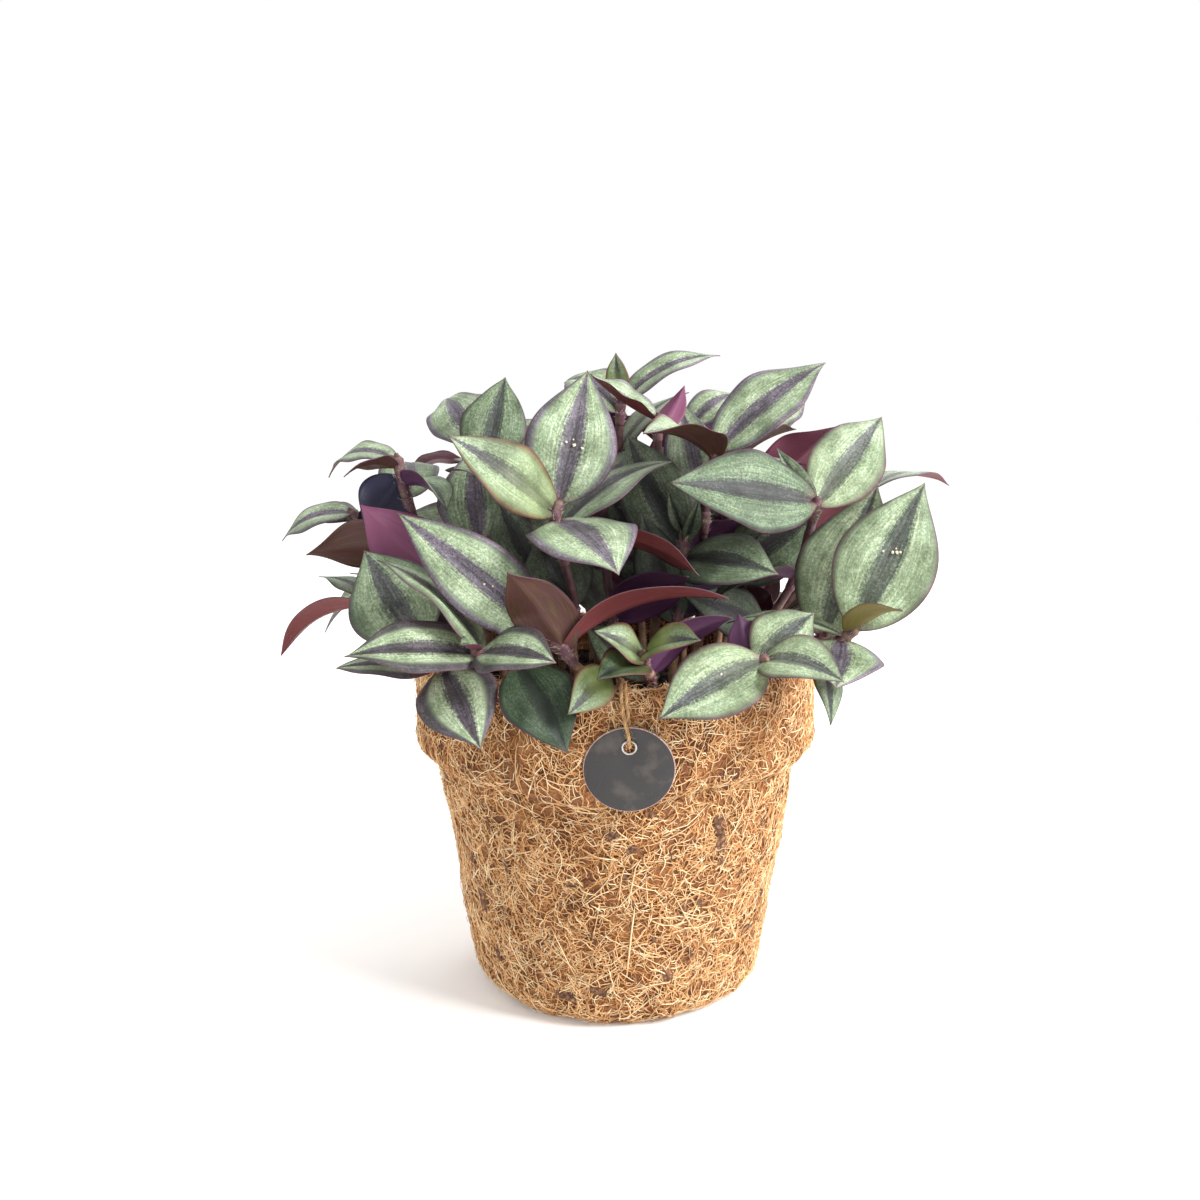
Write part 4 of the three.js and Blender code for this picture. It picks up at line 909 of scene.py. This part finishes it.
BACK_SHOOTS = [
    ("stem_01", -8), ("stem_05", 18), ("stem_07", 6), ("stem_08", 30), ("stem_11", -4),
    ("stem_12", -12), ("stem_13", 0), ("stem_14", 0), ("stem_16", 0), ("stem_15", 0),
    ("stem_17", 4), ("stem_19", 8), ("stem_20", -8), ("stem_21", -20), ("stem_22", -15),
    ("stem_28", -40),
]
CROWN_SHOOTS = [
    (100, 36, 208), (150, 40, 203), (62, 52, 200), (205, 28, 207), (130, 18, 208), (250, 15, 190),
]
BENDS = [
    (0, 0), (6, 0), (-6, 0), (0, 7), (0, -7), (12, 0), (-12, 0), (10, 8), (-10, -8), (18, 0),
    (-18, 0), (0, 14), (0, -14), (25, 0), (-25, 0), (20, 14), (20, -14), (-20, 14), (-20, -14),
    (32, 8), (-32, -8), (0, 24), (0, -24), (40, 0), (-40, 0),
]
BLADE_THICKNESS = 0.8
BROAD_LEAF_WIDTH = 27.5
CURL = 0.25
NECK_OUT = 0.3
NODE_STEP = 3
FOUND_WITHIN = 0.05
CORNERS_FOUND = 3
SPARE_FROM = 140
SPARES_BEHIND = 2
SPARE_FRONT = -12
SPARE_TURN_IN_FRONT = 70
SPARE_TURN_BEHIND = 80
SPARE_CLIMB = (-10, 28)
SPARE_LENGTH = (36, 48)
SPARE_WIDTH_SHARE = (0.5, 0.58)
SPARE_ARCH = 0.1
SPARE_FOLD = 0.3
SPARE_TILT = 0.3
SPARE_LOW = 150
SPARE_REACH = 100
DOME_TOP = 228
DOME_FALL = 0.0045
INNER_FROM = 126
INNER_RADIUS = 58
INNER_FRONT = -46
INNER_TRIES = 3
INNER_LEAN = (-80, 80)
INNER_PUSH = (-0.25, 0.3)
INNER_LENGTH = (30, 44)
INNER_TILT = 0.45
INNER_DROP = 20
SOIL_HEIGHT = SOIL_LEVEL / MM
# The dark, inner, deep and bronze looks darken their blades as painted shade for leaves in the plant's
# shadow; the green look is partly real colour and partly painted shade.
UPPER_LOOKS = {  # youth, purple and silver: past 1 is stronger, and silver below 0 is a darker blade
    "silver": (0, 0.85, 0.9), "green": (0, 0.15, 0.4), "young": (1, 0.5, 0.8), "violet": (0, 1, 0.7),
    "olive": (2, 0.5, 0.45), "dark": (0, 0.3, 0.15), "inner": (0, 0.5, 0.2), "grey": (0, 0.3, 0.55),
    "banded": (0, 1.9, 1), "pale": (0.3, 0.35, 1), "fair": (0.15, 0.2, 0.85),
    "deep": (0, 0.2, -1), "bronze": (2, 0.5, -0.7),
}
UNDER_LOOKS = {"navy": 0, "violet": 0.2, "maroon": 0.45, "magenta": 0.65, "brown": 0.85, "olive": 1}
plant_seed = 11


def draw(low, high):
    """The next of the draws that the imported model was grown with."""
    global plant_seed
    plant_seed = plant_seed * 16807 % 2147483647
    return low + (high - low) * plant_seed / 2147483647


def unit(vector):
    return vector / np.linalg.norm(vector)


def turned(vector, axis, degrees):
    return np.array(Matrix.Rotation(math.radians(degrees), 3, Vector(axis)) @ Vector(vector))


def leaf_frame(leaf):
    along = leaf["tip"] - leaf["base"]
    length = np.linalg.norm(along)
    along = along / length
    face = unit(leaf["face"] - along * leaf["face"].dot(along))
    return along, face, np.cross(along, face), length


def half_width(t, width):
    blade = np.maximum(np.sin(math.pi * np.asarray(t, float) ** 0.8), 0) ** (0.75 + 0.4 * t)
    return width / 2 * np.maximum(blade, 0.11 * (1 - t) ** 6)


def blade_points(leaf, t, q, lift):
    """Points of a blade: t along it, q across it from -1 to 1, lifted off its middle surface."""
    along, face, side, length = leaf_frame(leaf)
    slope = np.arctan(4 * leaf["arch"] * (1 - 2 * t))
    half = half_width(t, leaf["width"])
    rise = half * (leaf["fold"] * np.abs(q) - CURL * q * q) + lift
    parts = (
        (length * t - rise * np.sin(slope), along),
        (leaf["arch"] * length * 4 * t * (1 - t) + rise * np.cos(slope), face),
        (q * half, side),
    )
    return leaf["base"] + sum(np.multiply.outer(amount, axis) for amount, axis in parts)


def corners_of(leaf):
    """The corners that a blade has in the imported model."""
    stations = (0.16, 0.42, 0.74) if leaf["width"] > BROAD_LEAF_WIDTH else (0.2, 0.52)
    spots = [(1, 0)] + [(t, q) for t in stations for q in (-1, 0, 1)]
    t, q = np.array([spot for spot in spots for _ in (0, 1)], float).T
    return blade_points(leaf, t, q, np.tile([BLADE_THICKNESS / 2, -BLADE_THICKNESS / 2], len(spots)))


def bent(leaf, dip, swing):
    along, face, side, length = leaf_frame(leaf)
    tip = turned(turned(along * length, side, dip), face, swing)
    return {**leaf, "tip": leaf["base"] + tip, "face": turned(turned(face, side, dip), face, swing)}


def seated(leaf, shoot):
    """The leaf with its base, below the ones that its node has already."""
    node = shoot["path"][leaf["node"]]
    lower = shoot["path"][leaf["node"] - 1] if leaf["node"] else np.append(shoot["root"], SOIL_HEIGHT)
    down = unit(lower - node)
    rank = sum(grown["node"] == leaf["node"] for grown in shoot["grown"])
    outwards = leaf["tip"] - node
    outwards = unit(outwards - down * outwards.dot(down)) * NECK_OUT
    return {**leaf, "rank": rank, "base": node + down * rank * NODE_STEP + outwards}


def grow(leaf, shoot):
    """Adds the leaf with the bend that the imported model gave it, or leaves it out as that did."""
    placed = seated(leaf, shoot)
    tried = [bent(placed, *bend) for bend in BENDS]
    found = []
    for candidate in tried:
        gaps = np.linalg.norm(corners_of(candidate)[:, None] - shoot["corners"][None], axis=2)
        found.append((gaps.min(axis=1) < FOUND_WITHIN).sum())
    if max(found) >= CORNERS_FOUND:
        shoot["grown"].append(tried[int(np.argmax(found))])


def shoot_of(name, root, path, leaves):
    corners = np.empty(len(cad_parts[name].data.vertices) * 3)
    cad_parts[name].data.vertices.foreach_get("co", corners)
    corners = np.unique(corners.reshape(-1, 3).round(7), axis=0) / MM
    return {
        "name": name, "root": np.array(root, float), "path": np.array(path, float),
        "leaves": leaves, "grown": [], "corners": corners,
    }


def leaf_of(node, tip, face, width, arch, fold, upper="", under=""):
    return {
        "node": node, "tip": np.array(tip, float), "face": np.array(face, float), "width": width,
        "arch": arch, "fold": fold, "upper": upper, "under": under,
    }


def mirrored(shoot, turning, number):
    """A shoot of the back: a front one, mirrored, turned about the pot's axis and scaled."""
    angle = math.radians(turning + draw(-3, 3))
    scale = draw(0.92, 1)
    swap = np.array([
        [math.cos(angle), math.sin(angle), 0], [math.sin(angle), -math.cos(angle), 0], [0, 0, 1],
    ])
    level = np.array([0, 0, SOIL_HEIGHT])

    def placed(point):
        return swap @ (point - level) * scale + level

    leaves = [
        {**leaf, "tip": placed(leaf["tip"]), "face": swap @ leaf["face"], "width": scale * leaf["width"],
         "upper": "", "under": ""}
        for leaf in shoot["leaves"]
    ]
    root = placed(np.append(shoot["root"], SOIL_HEIGHT))[:2]
    return shoot_of("stem_" + str(number), root, [placed(point) for point in shoot["path"]], leaves)


def spare_leaves(shoot):
    """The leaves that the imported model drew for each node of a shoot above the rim."""
    leaves = []
    for node, (x, y, z) in enumerate(shoot["path"]):
        if z < SPARE_FROM:
            continue
        middle, swing, tries = 90, SPARE_TURN_IN_FRONT, 1
        if y >= SPARE_FRONT:
            middle, swing, tries = math.degrees(math.atan2(y, x)), SPARE_TURN_BEHIND, SPARES_BEHIND
        for _ in range(tries):
            azimuth = math.radians(middle + draw(-1, 1) * swing)
            climb = math.radians(draw(*SPARE_CLIMB))
            length = draw(*SPARE_LENGTH)
            reach = length * math.cos(climb)
            tip = (x + reach * math.cos(azimuth), y + reach * math.sin(azimuth),
                   z + length * math.sin(climb))
            width = length * draw(*SPARE_WIDTH_SHARE)
            reach_squared = tip[0] ** 2 + tip[1] ** 2
            hangs_low = tip[2] < SPARE_LOW and reach_squared > SPARE_REACH ** 2
            if tip[2] < DOME_TOP - DOME_FALL * reach_squared and not hangs_low:
                face = (SPARE_TILT * math.cos(azimuth), SPARE_TILT * math.sin(azimuth), 1)
                leaves.append(leaf_of(node, tip, face, width, SPARE_ARCH, SPARE_FOLD))
    return leaves


def inner_leaves(shoot):
    """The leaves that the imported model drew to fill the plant's inside."""
    leaves = []
    for node, (x, y, z) in enumerate(shoot["path"]):
        if z < INNER_FROM or y < INNER_FRONT or x * x + y * y > INNER_RADIUS ** 2:
            continue
        azimuth = -math.pi / 2 if y < 0 else math.atan2(y, x)
        out = (math.cos(azimuth), math.sin(azimuth))
        for _ in range(INNER_TRIES):
            lean = math.radians(draw(*INNER_LEAN))
            push = draw(*INNER_PUSH)
            length = draw(*INNER_LENGTH)
            width = length * draw(*SPARE_WIDTH_SHARE)
            aside = length * math.sin(lean)
            tip = (x + length * push * out[0] - aside * out[1],
                   y + length * push * out[1] + aside * out[0], z + length * math.cos(lean))
            face = (-out[0], -out[1], INNER_TILT) if y < 0 < lean else (*out, INNER_TILT)
            if tip[2] < DOME_TOP - INNER_DROP - DOME_FALL * (tip[0] ** 2 + tip[1] ** 2):
                leaves.append(leaf_of(node, tip, face, width, SPARE_ARCH, SPARE_FOLD, "inner"))
    return leaves


front = [shoot_of(name, root, path, [leaf_of(*row) for row in rows])
         for name, root, path, rows in FRONT_SHOOTS]
named = {shoot["name"]: shoot for shoot in front}
back = [mirrored(named[name], turning, len(front) + 1 + k)
        for k, (name, turning) in enumerate(BACK_SHOOTS)]
crown = []
for k, (azimuth, radius, height) in enumerate(CROWN_SHOOTS):
    out = np.array([math.cos(math.radians(azimuth)), math.sin(math.radians(azimuth))]) * radius
    path = [(*(out * share), height - 22 * (2 - i)) for i, share in enumerate((0.7, 0.85, 1))]
    crown.append(shoot_of("stem_" + str(len(front) + len(back) + 1 + k), 0.6 * out, path, []))
shoots = front + back + crown
for shoot in shoots:
    for leaf in shoot["leaves"]:
        grow(leaf, shoot)
for shoot in shoots:
    for leaf in spare_leaves(shoot):
        grow(leaf, shoot)
for shoot in shoots:
    for leaf in inner_leaves(shoot):
        grow(leaf, shoot)

STEM_LINE_STEPS = 8
TUBE_SIDES = 12
STEM_RADIUS = 1.55
NODE_SWELLING = 0.25
SHEATH_LENGTH = 6
SHEATH_RADII = (1.5, 1.8, 1.85, 1.9, 2.0, 2.15, 1.5)
ROOT_DEPTH = 12
STEM_END = 2.5
UPPER, UNDER, STALK, SHEATH = range(4)


def blade_sheet(name, across, along):
    """A flat closed sheet to shape blades from: x across, y along, z through it, all -1 to 1."""
    shape = bmesh.new()
    bmesh.ops.create_grid(shape, x_segments=across, y_segments=along, size=1)
    spread = shape.loops.layers.uv.new("UVMap")
    for face in shape.faces:
        for loop in face.loops:
            loop[spread].uv = (loop.vert.co.x / 2 + 0.5, loop.vert.co.y / 2 + 0.5)
    bmesh.ops.translate(shape, verts=shape.verts, vec=(0, 0, 1))
    bmesh.ops.solidify(shape, geom=shape.verts[:] + shape.edges[:] + shape.faces[:], thickness=2)
    for side in (-1, 1):
        tip = [v for v in shape.verts if v.co.y > 0.999 and v.co.z * side > 0.9]
        bmesh.ops.pointmerge(shape, verts=tip, merge_co=(0, 1, side))
    for face in shape.faces:
        face.smooth = True
        face.material_index = UNDER if face.normal.z < -0.5 else UPPER
    mesh = mesh_of(name, shape)
    mesh.attributes.new("look", "FLOAT_COLOR", "POINT")
    return mesh


def add_blade(shape, leaf, sheet, look, waves):
    """Adds the leaf's blade: a keel under the midrib, thin wavy margins, and a drooping tip."""
    flat = np.empty(len(sheet.vertices) * 3)
    sheet.vertices.foreach_get("co", flat)
    q, t, z = flat.reshape(-1, 3).T
    t = (t + 1) / 2
    midrib = np.exp(-((q / 0.13) ** 2)) * (1 - t)
    body = np.where(z > 0, 0.2 - 0.22 * midrib, -0.16 - 0.5 * midrib) * (1 - 0.45 * q * q)
    count, start, height = waves
    swell = height * q * q * np.sin(2 * math.pi * (count * t + start + 0.17 * np.sign(q)))
    swell = swell * np.sin(math.pi * np.clip(t, 0, 1)) ** 0.5
    clasp = 0.5 * half_width(0 * t, leaf["width"]) * np.abs(q) * np.exp(-t / 0.05)
    places = blade_points(leaf, t, q, body + swell + clasp) * MM
    blade = sheet.copy()
    blade.vertices.foreach_set("co", places.ravel())
    blade.attributes["look"].data.foreach_set("color", np.tile(look, len(sheet.vertices)))
    shape.from_mesh(blade)
    bpy.data.meshes.remove(blade)


def add_tube(shape, line, radii, sides, finish):
    """Adds a closed tube along the line, in mm, with u round it and v along it."""
    spread, tint_layer = shape.loops.layers.uv["UVMap"], shape.verts.layers.float_color["look"]
    heading = np.gradient(line, axis=0)
    beside = [Vector(heading[0]).orthogonal()]
    for ahead in heading:
        ahead = Vector(ahead).normalized()
        beside.append((beside[-1] - ahead * beside[-1].dot(ahead)).normalized())
    rows = len(line) - 1
    made = bmesh.ops.create_grid(shape, x_segments=sides, y_segments=rows, size=1)["verts"]
    faces = {face for v in made for face in v.link_faces}
    for face in faces:
        face.smooth = True
        face.material_index = finish
        for loop in face.loops:
            loop[spread].uv = (loop.vert.co.x / 2 + 0.5, loop.vert.co.y / 2 + 0.5)
    for v in made:
        v[tint_layer] = (0, 0, 0, 0)
        row, turn = round((v.co.y + 1) / 2 * rows), math.pi * (v.co.x + 1)
        one, ahead = beside[row + 1], Vector(heading[row]).normalized()
        out = one * math.cos(turn) + ahead.cross(one) * math.sin(turn)
        v.co = (Vector(line[row]) + out * float(radii[row])) * MM
    seam = bmesh.ops.find_doubles(shape, verts=made, dist=1e-7)["targetmap"]
    bmesh.ops.weld_verts(shape, targetmap=seam)
    ends = [e for e in {e for v in made if v.is_valid for e in v.link_edges} if e.is_boundary]
    for face in bmesh.ops.holes_fill(shape, edges=ends)["faces"]:
        face.material_index = finish


def stem_line(shoot):
    """The stem's middle line with its runs, and the run at each of its nodes."""
    low, high = (np.append(shoot["root"], SOIL_HEIGHT + d) for d in (-ROOT_DEPTH, 3))
    nodes = list(shoot["path"])
    before = nodes[-2] if len(nodes) > 1 else np.append(shoot["root"], SOIL_HEIGHT)
    end = nodes[-1] + unit(nodes[-1] - before) * STEM_END
    line = smooth_line([low, high, *nodes, end], STEM_LINE_STEPS)
    lengths = np.linalg.norm(np.diff(line, axis=0), axis=1)
    along = np.concatenate([[0], np.cumsum(lengths)])
    return line, along, along[[(k + 2) * STEM_LINE_STEPS for k in range(len(nodes))]]


def at_along(line, along, spots):
    return np.column_stack([np.interp(spots, along, line[:, k]) for k in range(3)])


# The crown's core, towards which the leaves are darkened as painted shade.
CROWN_CORE = (0, -0.005, 0.148)
leaf_draw = np.random.default_rng(41)
HAIRS_PER_SHEATH = 16
HAIR_RADII = (0.05, 0.035, 0.012)


def sheath_hairs(line, along, foot):
    """Short fine hairs round the upper half of a sheath, as rows of points in metres."""
    lines = []
    for _ in range(HAIRS_PER_SHEATH):
        at = foot - leaf_draw.uniform(-1, 3.5)
        middle, ahead = at_along(line, along, [at, at + 0.5])
        up = Vector(ahead - middle).normalized()
        out = up.orthogonal().normalized()
        out.rotate(Matrix.Rotation(leaf_draw.uniform(0, 2 * math.pi), 3, up))
        reach = leaf_draw.uniform(0.9, 2) * np.array([[0], [0.55], [1]])
        aim = np.array(out * leaf_draw.uniform(0.6, 1) + up * leaf_draw.uniform(0.2, 0.9))
        bend = np.array(up) * 0.15 * reach ** 2
        lines.append((middle + np.array(out) * 1.95 + reach * aim + bend) * MM)
    return lines


broad_sheet = blade_sheet("broad sheet", 16, 30)
small_sheet = blade_sheet("small sheet", 10, 16)
leaf_finishes = [finish_of(name, roughness) for name, roughness in (
    ("leaf upper side", 0.42), ("leaf underside", 0.5), ("stem", 0.45), ("sheath", 0.55),
)]
for _, shader in leaf_finishes:
    shader.inputs["Specular IOR Level"].default_value = 0.35
hair_lines = []
for shoot in shoots:
    line, along, node_runs = stem_line(shoot)
    swelling = sum(np.exp(-(((along - at) / 2.2) ** 2)) for at in node_runs)
    shape = bmesh.new()
    shape.from_mesh(small_sheet)
    bmesh.ops.delete(shape, geom=shape.verts)
    bud = np.clip((along[-1] - along) / STEM_END, 0.2, 1) ** 0.5
    add_tube(shape, line, (STEM_RADIUS + NODE_SWELLING * swelling) * bud, TUBE_SIDES, STALK)
    for leaf in shoot["grown"]:
        upper = UPPER_LOOKS.get(leaf["upper"]) or (
            leaf_draw.uniform(0, 0.35), leaf_draw.uniform(0.1, 1), leaf_draw.uniform(0.4, 1))
        under = UNDER_LOOKS.get(leaf["under"], leaf_draw.uniform(0.1, 0.6))
        broad = leaf["width"] > 16
        waves = (leaf_draw.uniform(1.2, 2.4), leaf_draw.uniform(), leaf["width"] * 0.035)
        add_blade(shape, leaf, broad_sheet if broad else small_sheet, (*upper, under), waves)
        foot = node_runs[leaf["node"]] - leaf["rank"] * NODE_STEP
        spots = foot + np.linspace(1 - SHEATH_LENGTH, 1, len(SHEATH_RADII))
        add_tube(shape, at_along(line, along, spots), SHEATH_RADII, TUBE_SIDES, SHEATH)
        hair_lines += sheath_hairs(line, along, foot)
    bmesh.ops.recalc_face_normals(shape, faces=shape.faces)
    number = shoot["name"][-2:]
    mesh = mesh_of("shoot_" + number, shape)
    piece = piece_of("shoot_" + number, mesh, [material for material, _ in leaf_finishes])
    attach(piece, "root")
    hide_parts(shoot["name"])

(_, upper_shader), (_, under_shader), (_, stalk_shader), (_, sheath_shader) = leaf_finishes


def split(shader, vector):
    return node_in(shader, "SeparateXYZ", {0: vector}).outputs


def leaf_axes(shader):
    """Across the blade from 0 at the midrib to 1 at the margin, along it, and fine streaks."""
    u, v, _ = split(shader, node_in(shader, "TexCoord").outputs["UV"])
    x, y, z = split(shader, place_of(shader))
    apart = scaled(shader, maths(shader, "ADD", maths(shader, "ADD", x, y), z), 25)
    across = maths(shader, "ABSOLUTE", maths(shader, "SUBTRACT", scaled(shader, u, 2), 1))
    spread = node_in(shader, "CombineXYZ", {
        0: scaled(shader, u, 44), 1: scaled(shader, v, 3), 2: apart,
    }).outputs[0]
    return across, v, noisy(shader, spread, 1, 4, 0.6)


def aged(shader, colour):
    """The colour, darker and duller towards the crown's core: painted shade deep inside the crown."""
    inward = node_in(shader, "VectorMath", {0: place_of(shader), 1: CROWN_CORE}, operation="DISTANCE")
    share = scaled(shader, step_up(shader, inward.outputs["Value"], 0.078, 0.04), 0.75)
    return mixed(shader, share, colour, "#6a5f6b", "MULTIPLY")


across, along, streaks = leaf_axes(upper_shader)
youth, purple, silver = split(upper_shader, attribute_of(upper_shader, "look", "Vector"))
speckle = noisy(upper_shader, place_of(upper_shader), 1200, 5, 0.8)
patches = noisy(upper_shader, place_of(upper_shader), 110, 3)
grain = maths(upper_shader, "ADD", scaled(upper_shader, streaks, 0.35),
              scaled(upper_shader, speckle, 0.65))
waver = scaled(upper_shader, maths(upper_shader, "SUBTRACT", grain, 0.5), 0.5)
strayed = maths(upper_shader, "ADD", across, waver)
widened = maths(upper_shader, "ADD", strayed, scaled(upper_shader, purple, 0.14))
middle = step_up(upper_shader, strayed, 0.34, 0.16)
midrib = step_up(upper_shader, strayed, 0.07, 0.0)
margin = step_up(upper_shader, widened, 0.86, 1.02)
edge = step_up(upper_shader, across, 0.955, 0.985)
leaf_green = shaded(upper_shader, grain, [(0.38, "#334535"), (0.5, "#566b4e"), (0.62, "#8a9d7e")])
silvered = shaded(upper_shader, grain, [(0.38, "#74866a"), (0.5, "#a5b795"), (0.62, "#e3efd0")])
mauve = shaded(upper_shader, grain, [(0.38, "#463552"), (0.5, "#6e5a78"), (0.62, "#97839a")])
bottle = shaded(upper_shader, grain, [(0.38, "#27342b"), (0.5, "#435346"), (0.62, "#66756a")])
ground_colour = mixed(upper_shader, silver, leaf_green, silvered)
dark_zone = mixed(upper_shader, purple, bottle, mauve)
depth = scaled(upper_shader, maths(upper_shader, "SUBTRACT", 1, silver), 0.75)
dark_zone = mixed(upper_shader, depth, dark_zone, "#241c24")
banded = scaled(upper_shader, maths(upper_shader, "SUBTRACT", purple, 1), 0.8)
dark_zone = mixed(upper_shader, banded, dark_zone, "#2f2030")
outer_green = scaled(upper_shader, step_up(upper_shader, strayed, 0.45, 0.95), 0.45)
ground_colour = mixed(upper_shader, outer_green, ground_colour, leaf_green)
ground_colour = mixed(upper_shader, scaled(upper_shader, margin, 0.85), ground_colour, dark_zone)
ground_colour = mixed(upper_shader, scaled(upper_shader, middle, 0.9), ground_colour, dark_zone)
ground_colour = mixed(upper_shader, scaled(upper_shader, midrib, 0.5), ground_colour, "#3a2f3c")
brown_edge = scaled(upper_shader, step_up(upper_shader, strayed, 0.68, 0.98), 0.85)
youthful = mixed(upper_shader, brown_edge, "#8a9a5c", "#74483d")
basal = scaled(upper_shader, step_up(upper_shader, along, 0.8, 0.1), 0.6)
youth_share = maths(upper_shader, "MULTIPLY", youth, maths(upper_shader, "ADD", brown_edge, basal))
upper_colour = mixed(upper_shader, youth_share, ground_colour, youthful)
# Silver below 0 darkens the blade towards a deep green, as painted shade.
upper_colour = mixed(upper_shader, scaled(upper_shader, silver, -0.65), upper_colour, "#1d3020")
flush = scaled(upper_shader, step_up(upper_shader, along, 0.1, 0.0), 0.55)
upper_colour = mixed(upper_shader, flush, upper_colour, "#84505f")
tip_flush = scaled(upper_shader, step_up(upper_shader, along, 0.9, 1.0), 0.45)
upper_colour = mixed(upper_shader, tip_flush, upper_colour, "#6f5257")
upper_colour = mixed(upper_shader, scaled(upper_shader, edge, 0.7), upper_colour, "#6f4452")
shadings = shaded(upper_shader, patches, [(0.35, "#b9bdb4"), (0.5, "#e2e4de"), (0.65, "#ffffff")])
upper_colour = mixed(upper_shader, 1.0, upper_colour, shadings, "MULTIPLY")
feed(upper_shader.inputs["Base Color"], aged(upper_shader, upper_colour))
bumped(upper_shader, grain, 0.35 * MM, 0.8)

across, along, streaks = leaf_axes(under_shader)
under_hue = attribute_of(under_shader, "look", "Alpha")
under_tone = maths(under_shader, "ADD", under_hue, maths(
    under_shader, "MULTIPLY", maths(under_shader, "SUBTRACT", streaks, 0.5), 0.3))
# The dark navy at the ramp's foot is painted shade, for undersides deep in the plant's shadow.
under_colour = shaded(under_shader, under_tone, [
    (0.0, "#22223a"), (0.2, "#4a2848"), (0.45, "#743836"), (0.65, "#7d4464"), (0.85, "#4d3028"),
    (1.0, "#6f6434"),
])
feed(under_shader.inputs["Base Color"], under_colour)
bumped(under_shader, streaks, 0.3 * MM, 0.6)

height = split(stalk_shader, place_of(stalk_shader))[2]
stalk_grain = noisy(stalk_shader, place_of(stalk_shader), 260, 3)
old_wood = step_up(stalk_shader, height, 0.150, 0.126)
young_stalk = shaded(stalk_shader, stalk_grain, [(0.3, "#3c262c"), (0.5, "#563840"), (0.7, "#645242")])
old_stalk = shaded(stalk_shader, stalk_grain, [(0.3, "#7a5a44"), (0.5, "#a17f62"), (0.7, "#c0a080")])
feed(stalk_shader.inputs["Base Color"], mixed(stalk_shader, old_wood, young_stalk, old_stalk))
bumped(stalk_shader, stalk_grain, 0.1 * MM, 0.5)

sheath_grain = noisy(sheath_shader, place_of(sheath_shader), 300, 3)
feed(sheath_shader.inputs["Base Color"], shaded(sheath_shader, sheath_grain, [
    (0.3, "#4f333c"), (0.5, "#6c4a52"), (0.7, "#746a4e"),
]))
bumped(sheath_shader, sheath_grain, 0.1 * MM, 0.5)

down, down_shader = finish_of("leaf hair", 0.6)
feed(down_shader.inputs["Base Color"], shaded(down_shader, attribute_of(down_shader, "tone"), [
    (0.0, "#c9a9ad"), (0.5, "#dccfc8"), (1.0, "#efe9e2"),
]))
hair_lines = np.array(hair_lines)
hair_radii = np.tile(np.array(HAIR_RADII) * MM, (len(hair_lines), 1))
hair_tones = leaf_draw.uniform(0, 1, len(hair_lines))
hairs = piece_of("sheath_hairs", strands_mesh("sheath_hairs", hair_lines, hair_radii, hair_tones), [down])
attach(hairs, "root")


# Grit. A few grains of pale sand that were splashed on four of the front leaves.
GRIT = [  # the shoot, the leaf among those grown, along it, across it, and the grain's size in mm
    ("stem_01", 1, 0.43, 0.06, 0.5), ("stem_01", 1, 0.44, -0.12, 0.4), ("stem_01", 1, 0.42, 0.24, 0.45),
    ("stem_01", 1, 0.47, 0.02, 0.3), ("stem_11", 0, 0.52, 0.02, 0.5), ("stem_11", 0, 0.53, 0.1, 0.6),
    ("stem_11", 0, 0.54, 0.16, 0.4), ("stem_11", 0, 0.5, -0.16, 0.35), ("stem_11", 0, 0.55, 0.05, 0.3),
    ("stem_13", 0, 0.4, 0.1, 0.3), ("stem_15", 0, 0.38, 0.05, 0.35), ("stem_15", 0, 0.42, -0.05, 0.4),
]
grains = bmesh.new()
grown_on = {shoot["name"]: shoot["grown"] for shoot in shoots}
for name, k, t, q, size in GRIT:
    leaf = grown_on[name][k]
    made = bmesh.ops.create_icosphere(grains, subdivisions=2, radius=size * MM)["verts"]
    for v in made:
        v.co *= 1 + 0.2 * leaf_draw.normal()
    bmesh.ops.translate(grains, verts=made, vec=blade_points(leaf, t, q, 0.35) * MM)
sand, sand_shader = finish_of("sand", 0.7)
sand_grain = noisy(sand_shader, place_of(sand_shader), 1500, 2)
feed(sand_shader.inputs["Base Color"], shaded(sand_shader, sand_grain, [
    (0.3, "#cdb98f"), (0.6, "#f0e8d2"),
]))
grit = piece_of("grit", mesh_of("grit", grains), [sand])
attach(grit, "root")
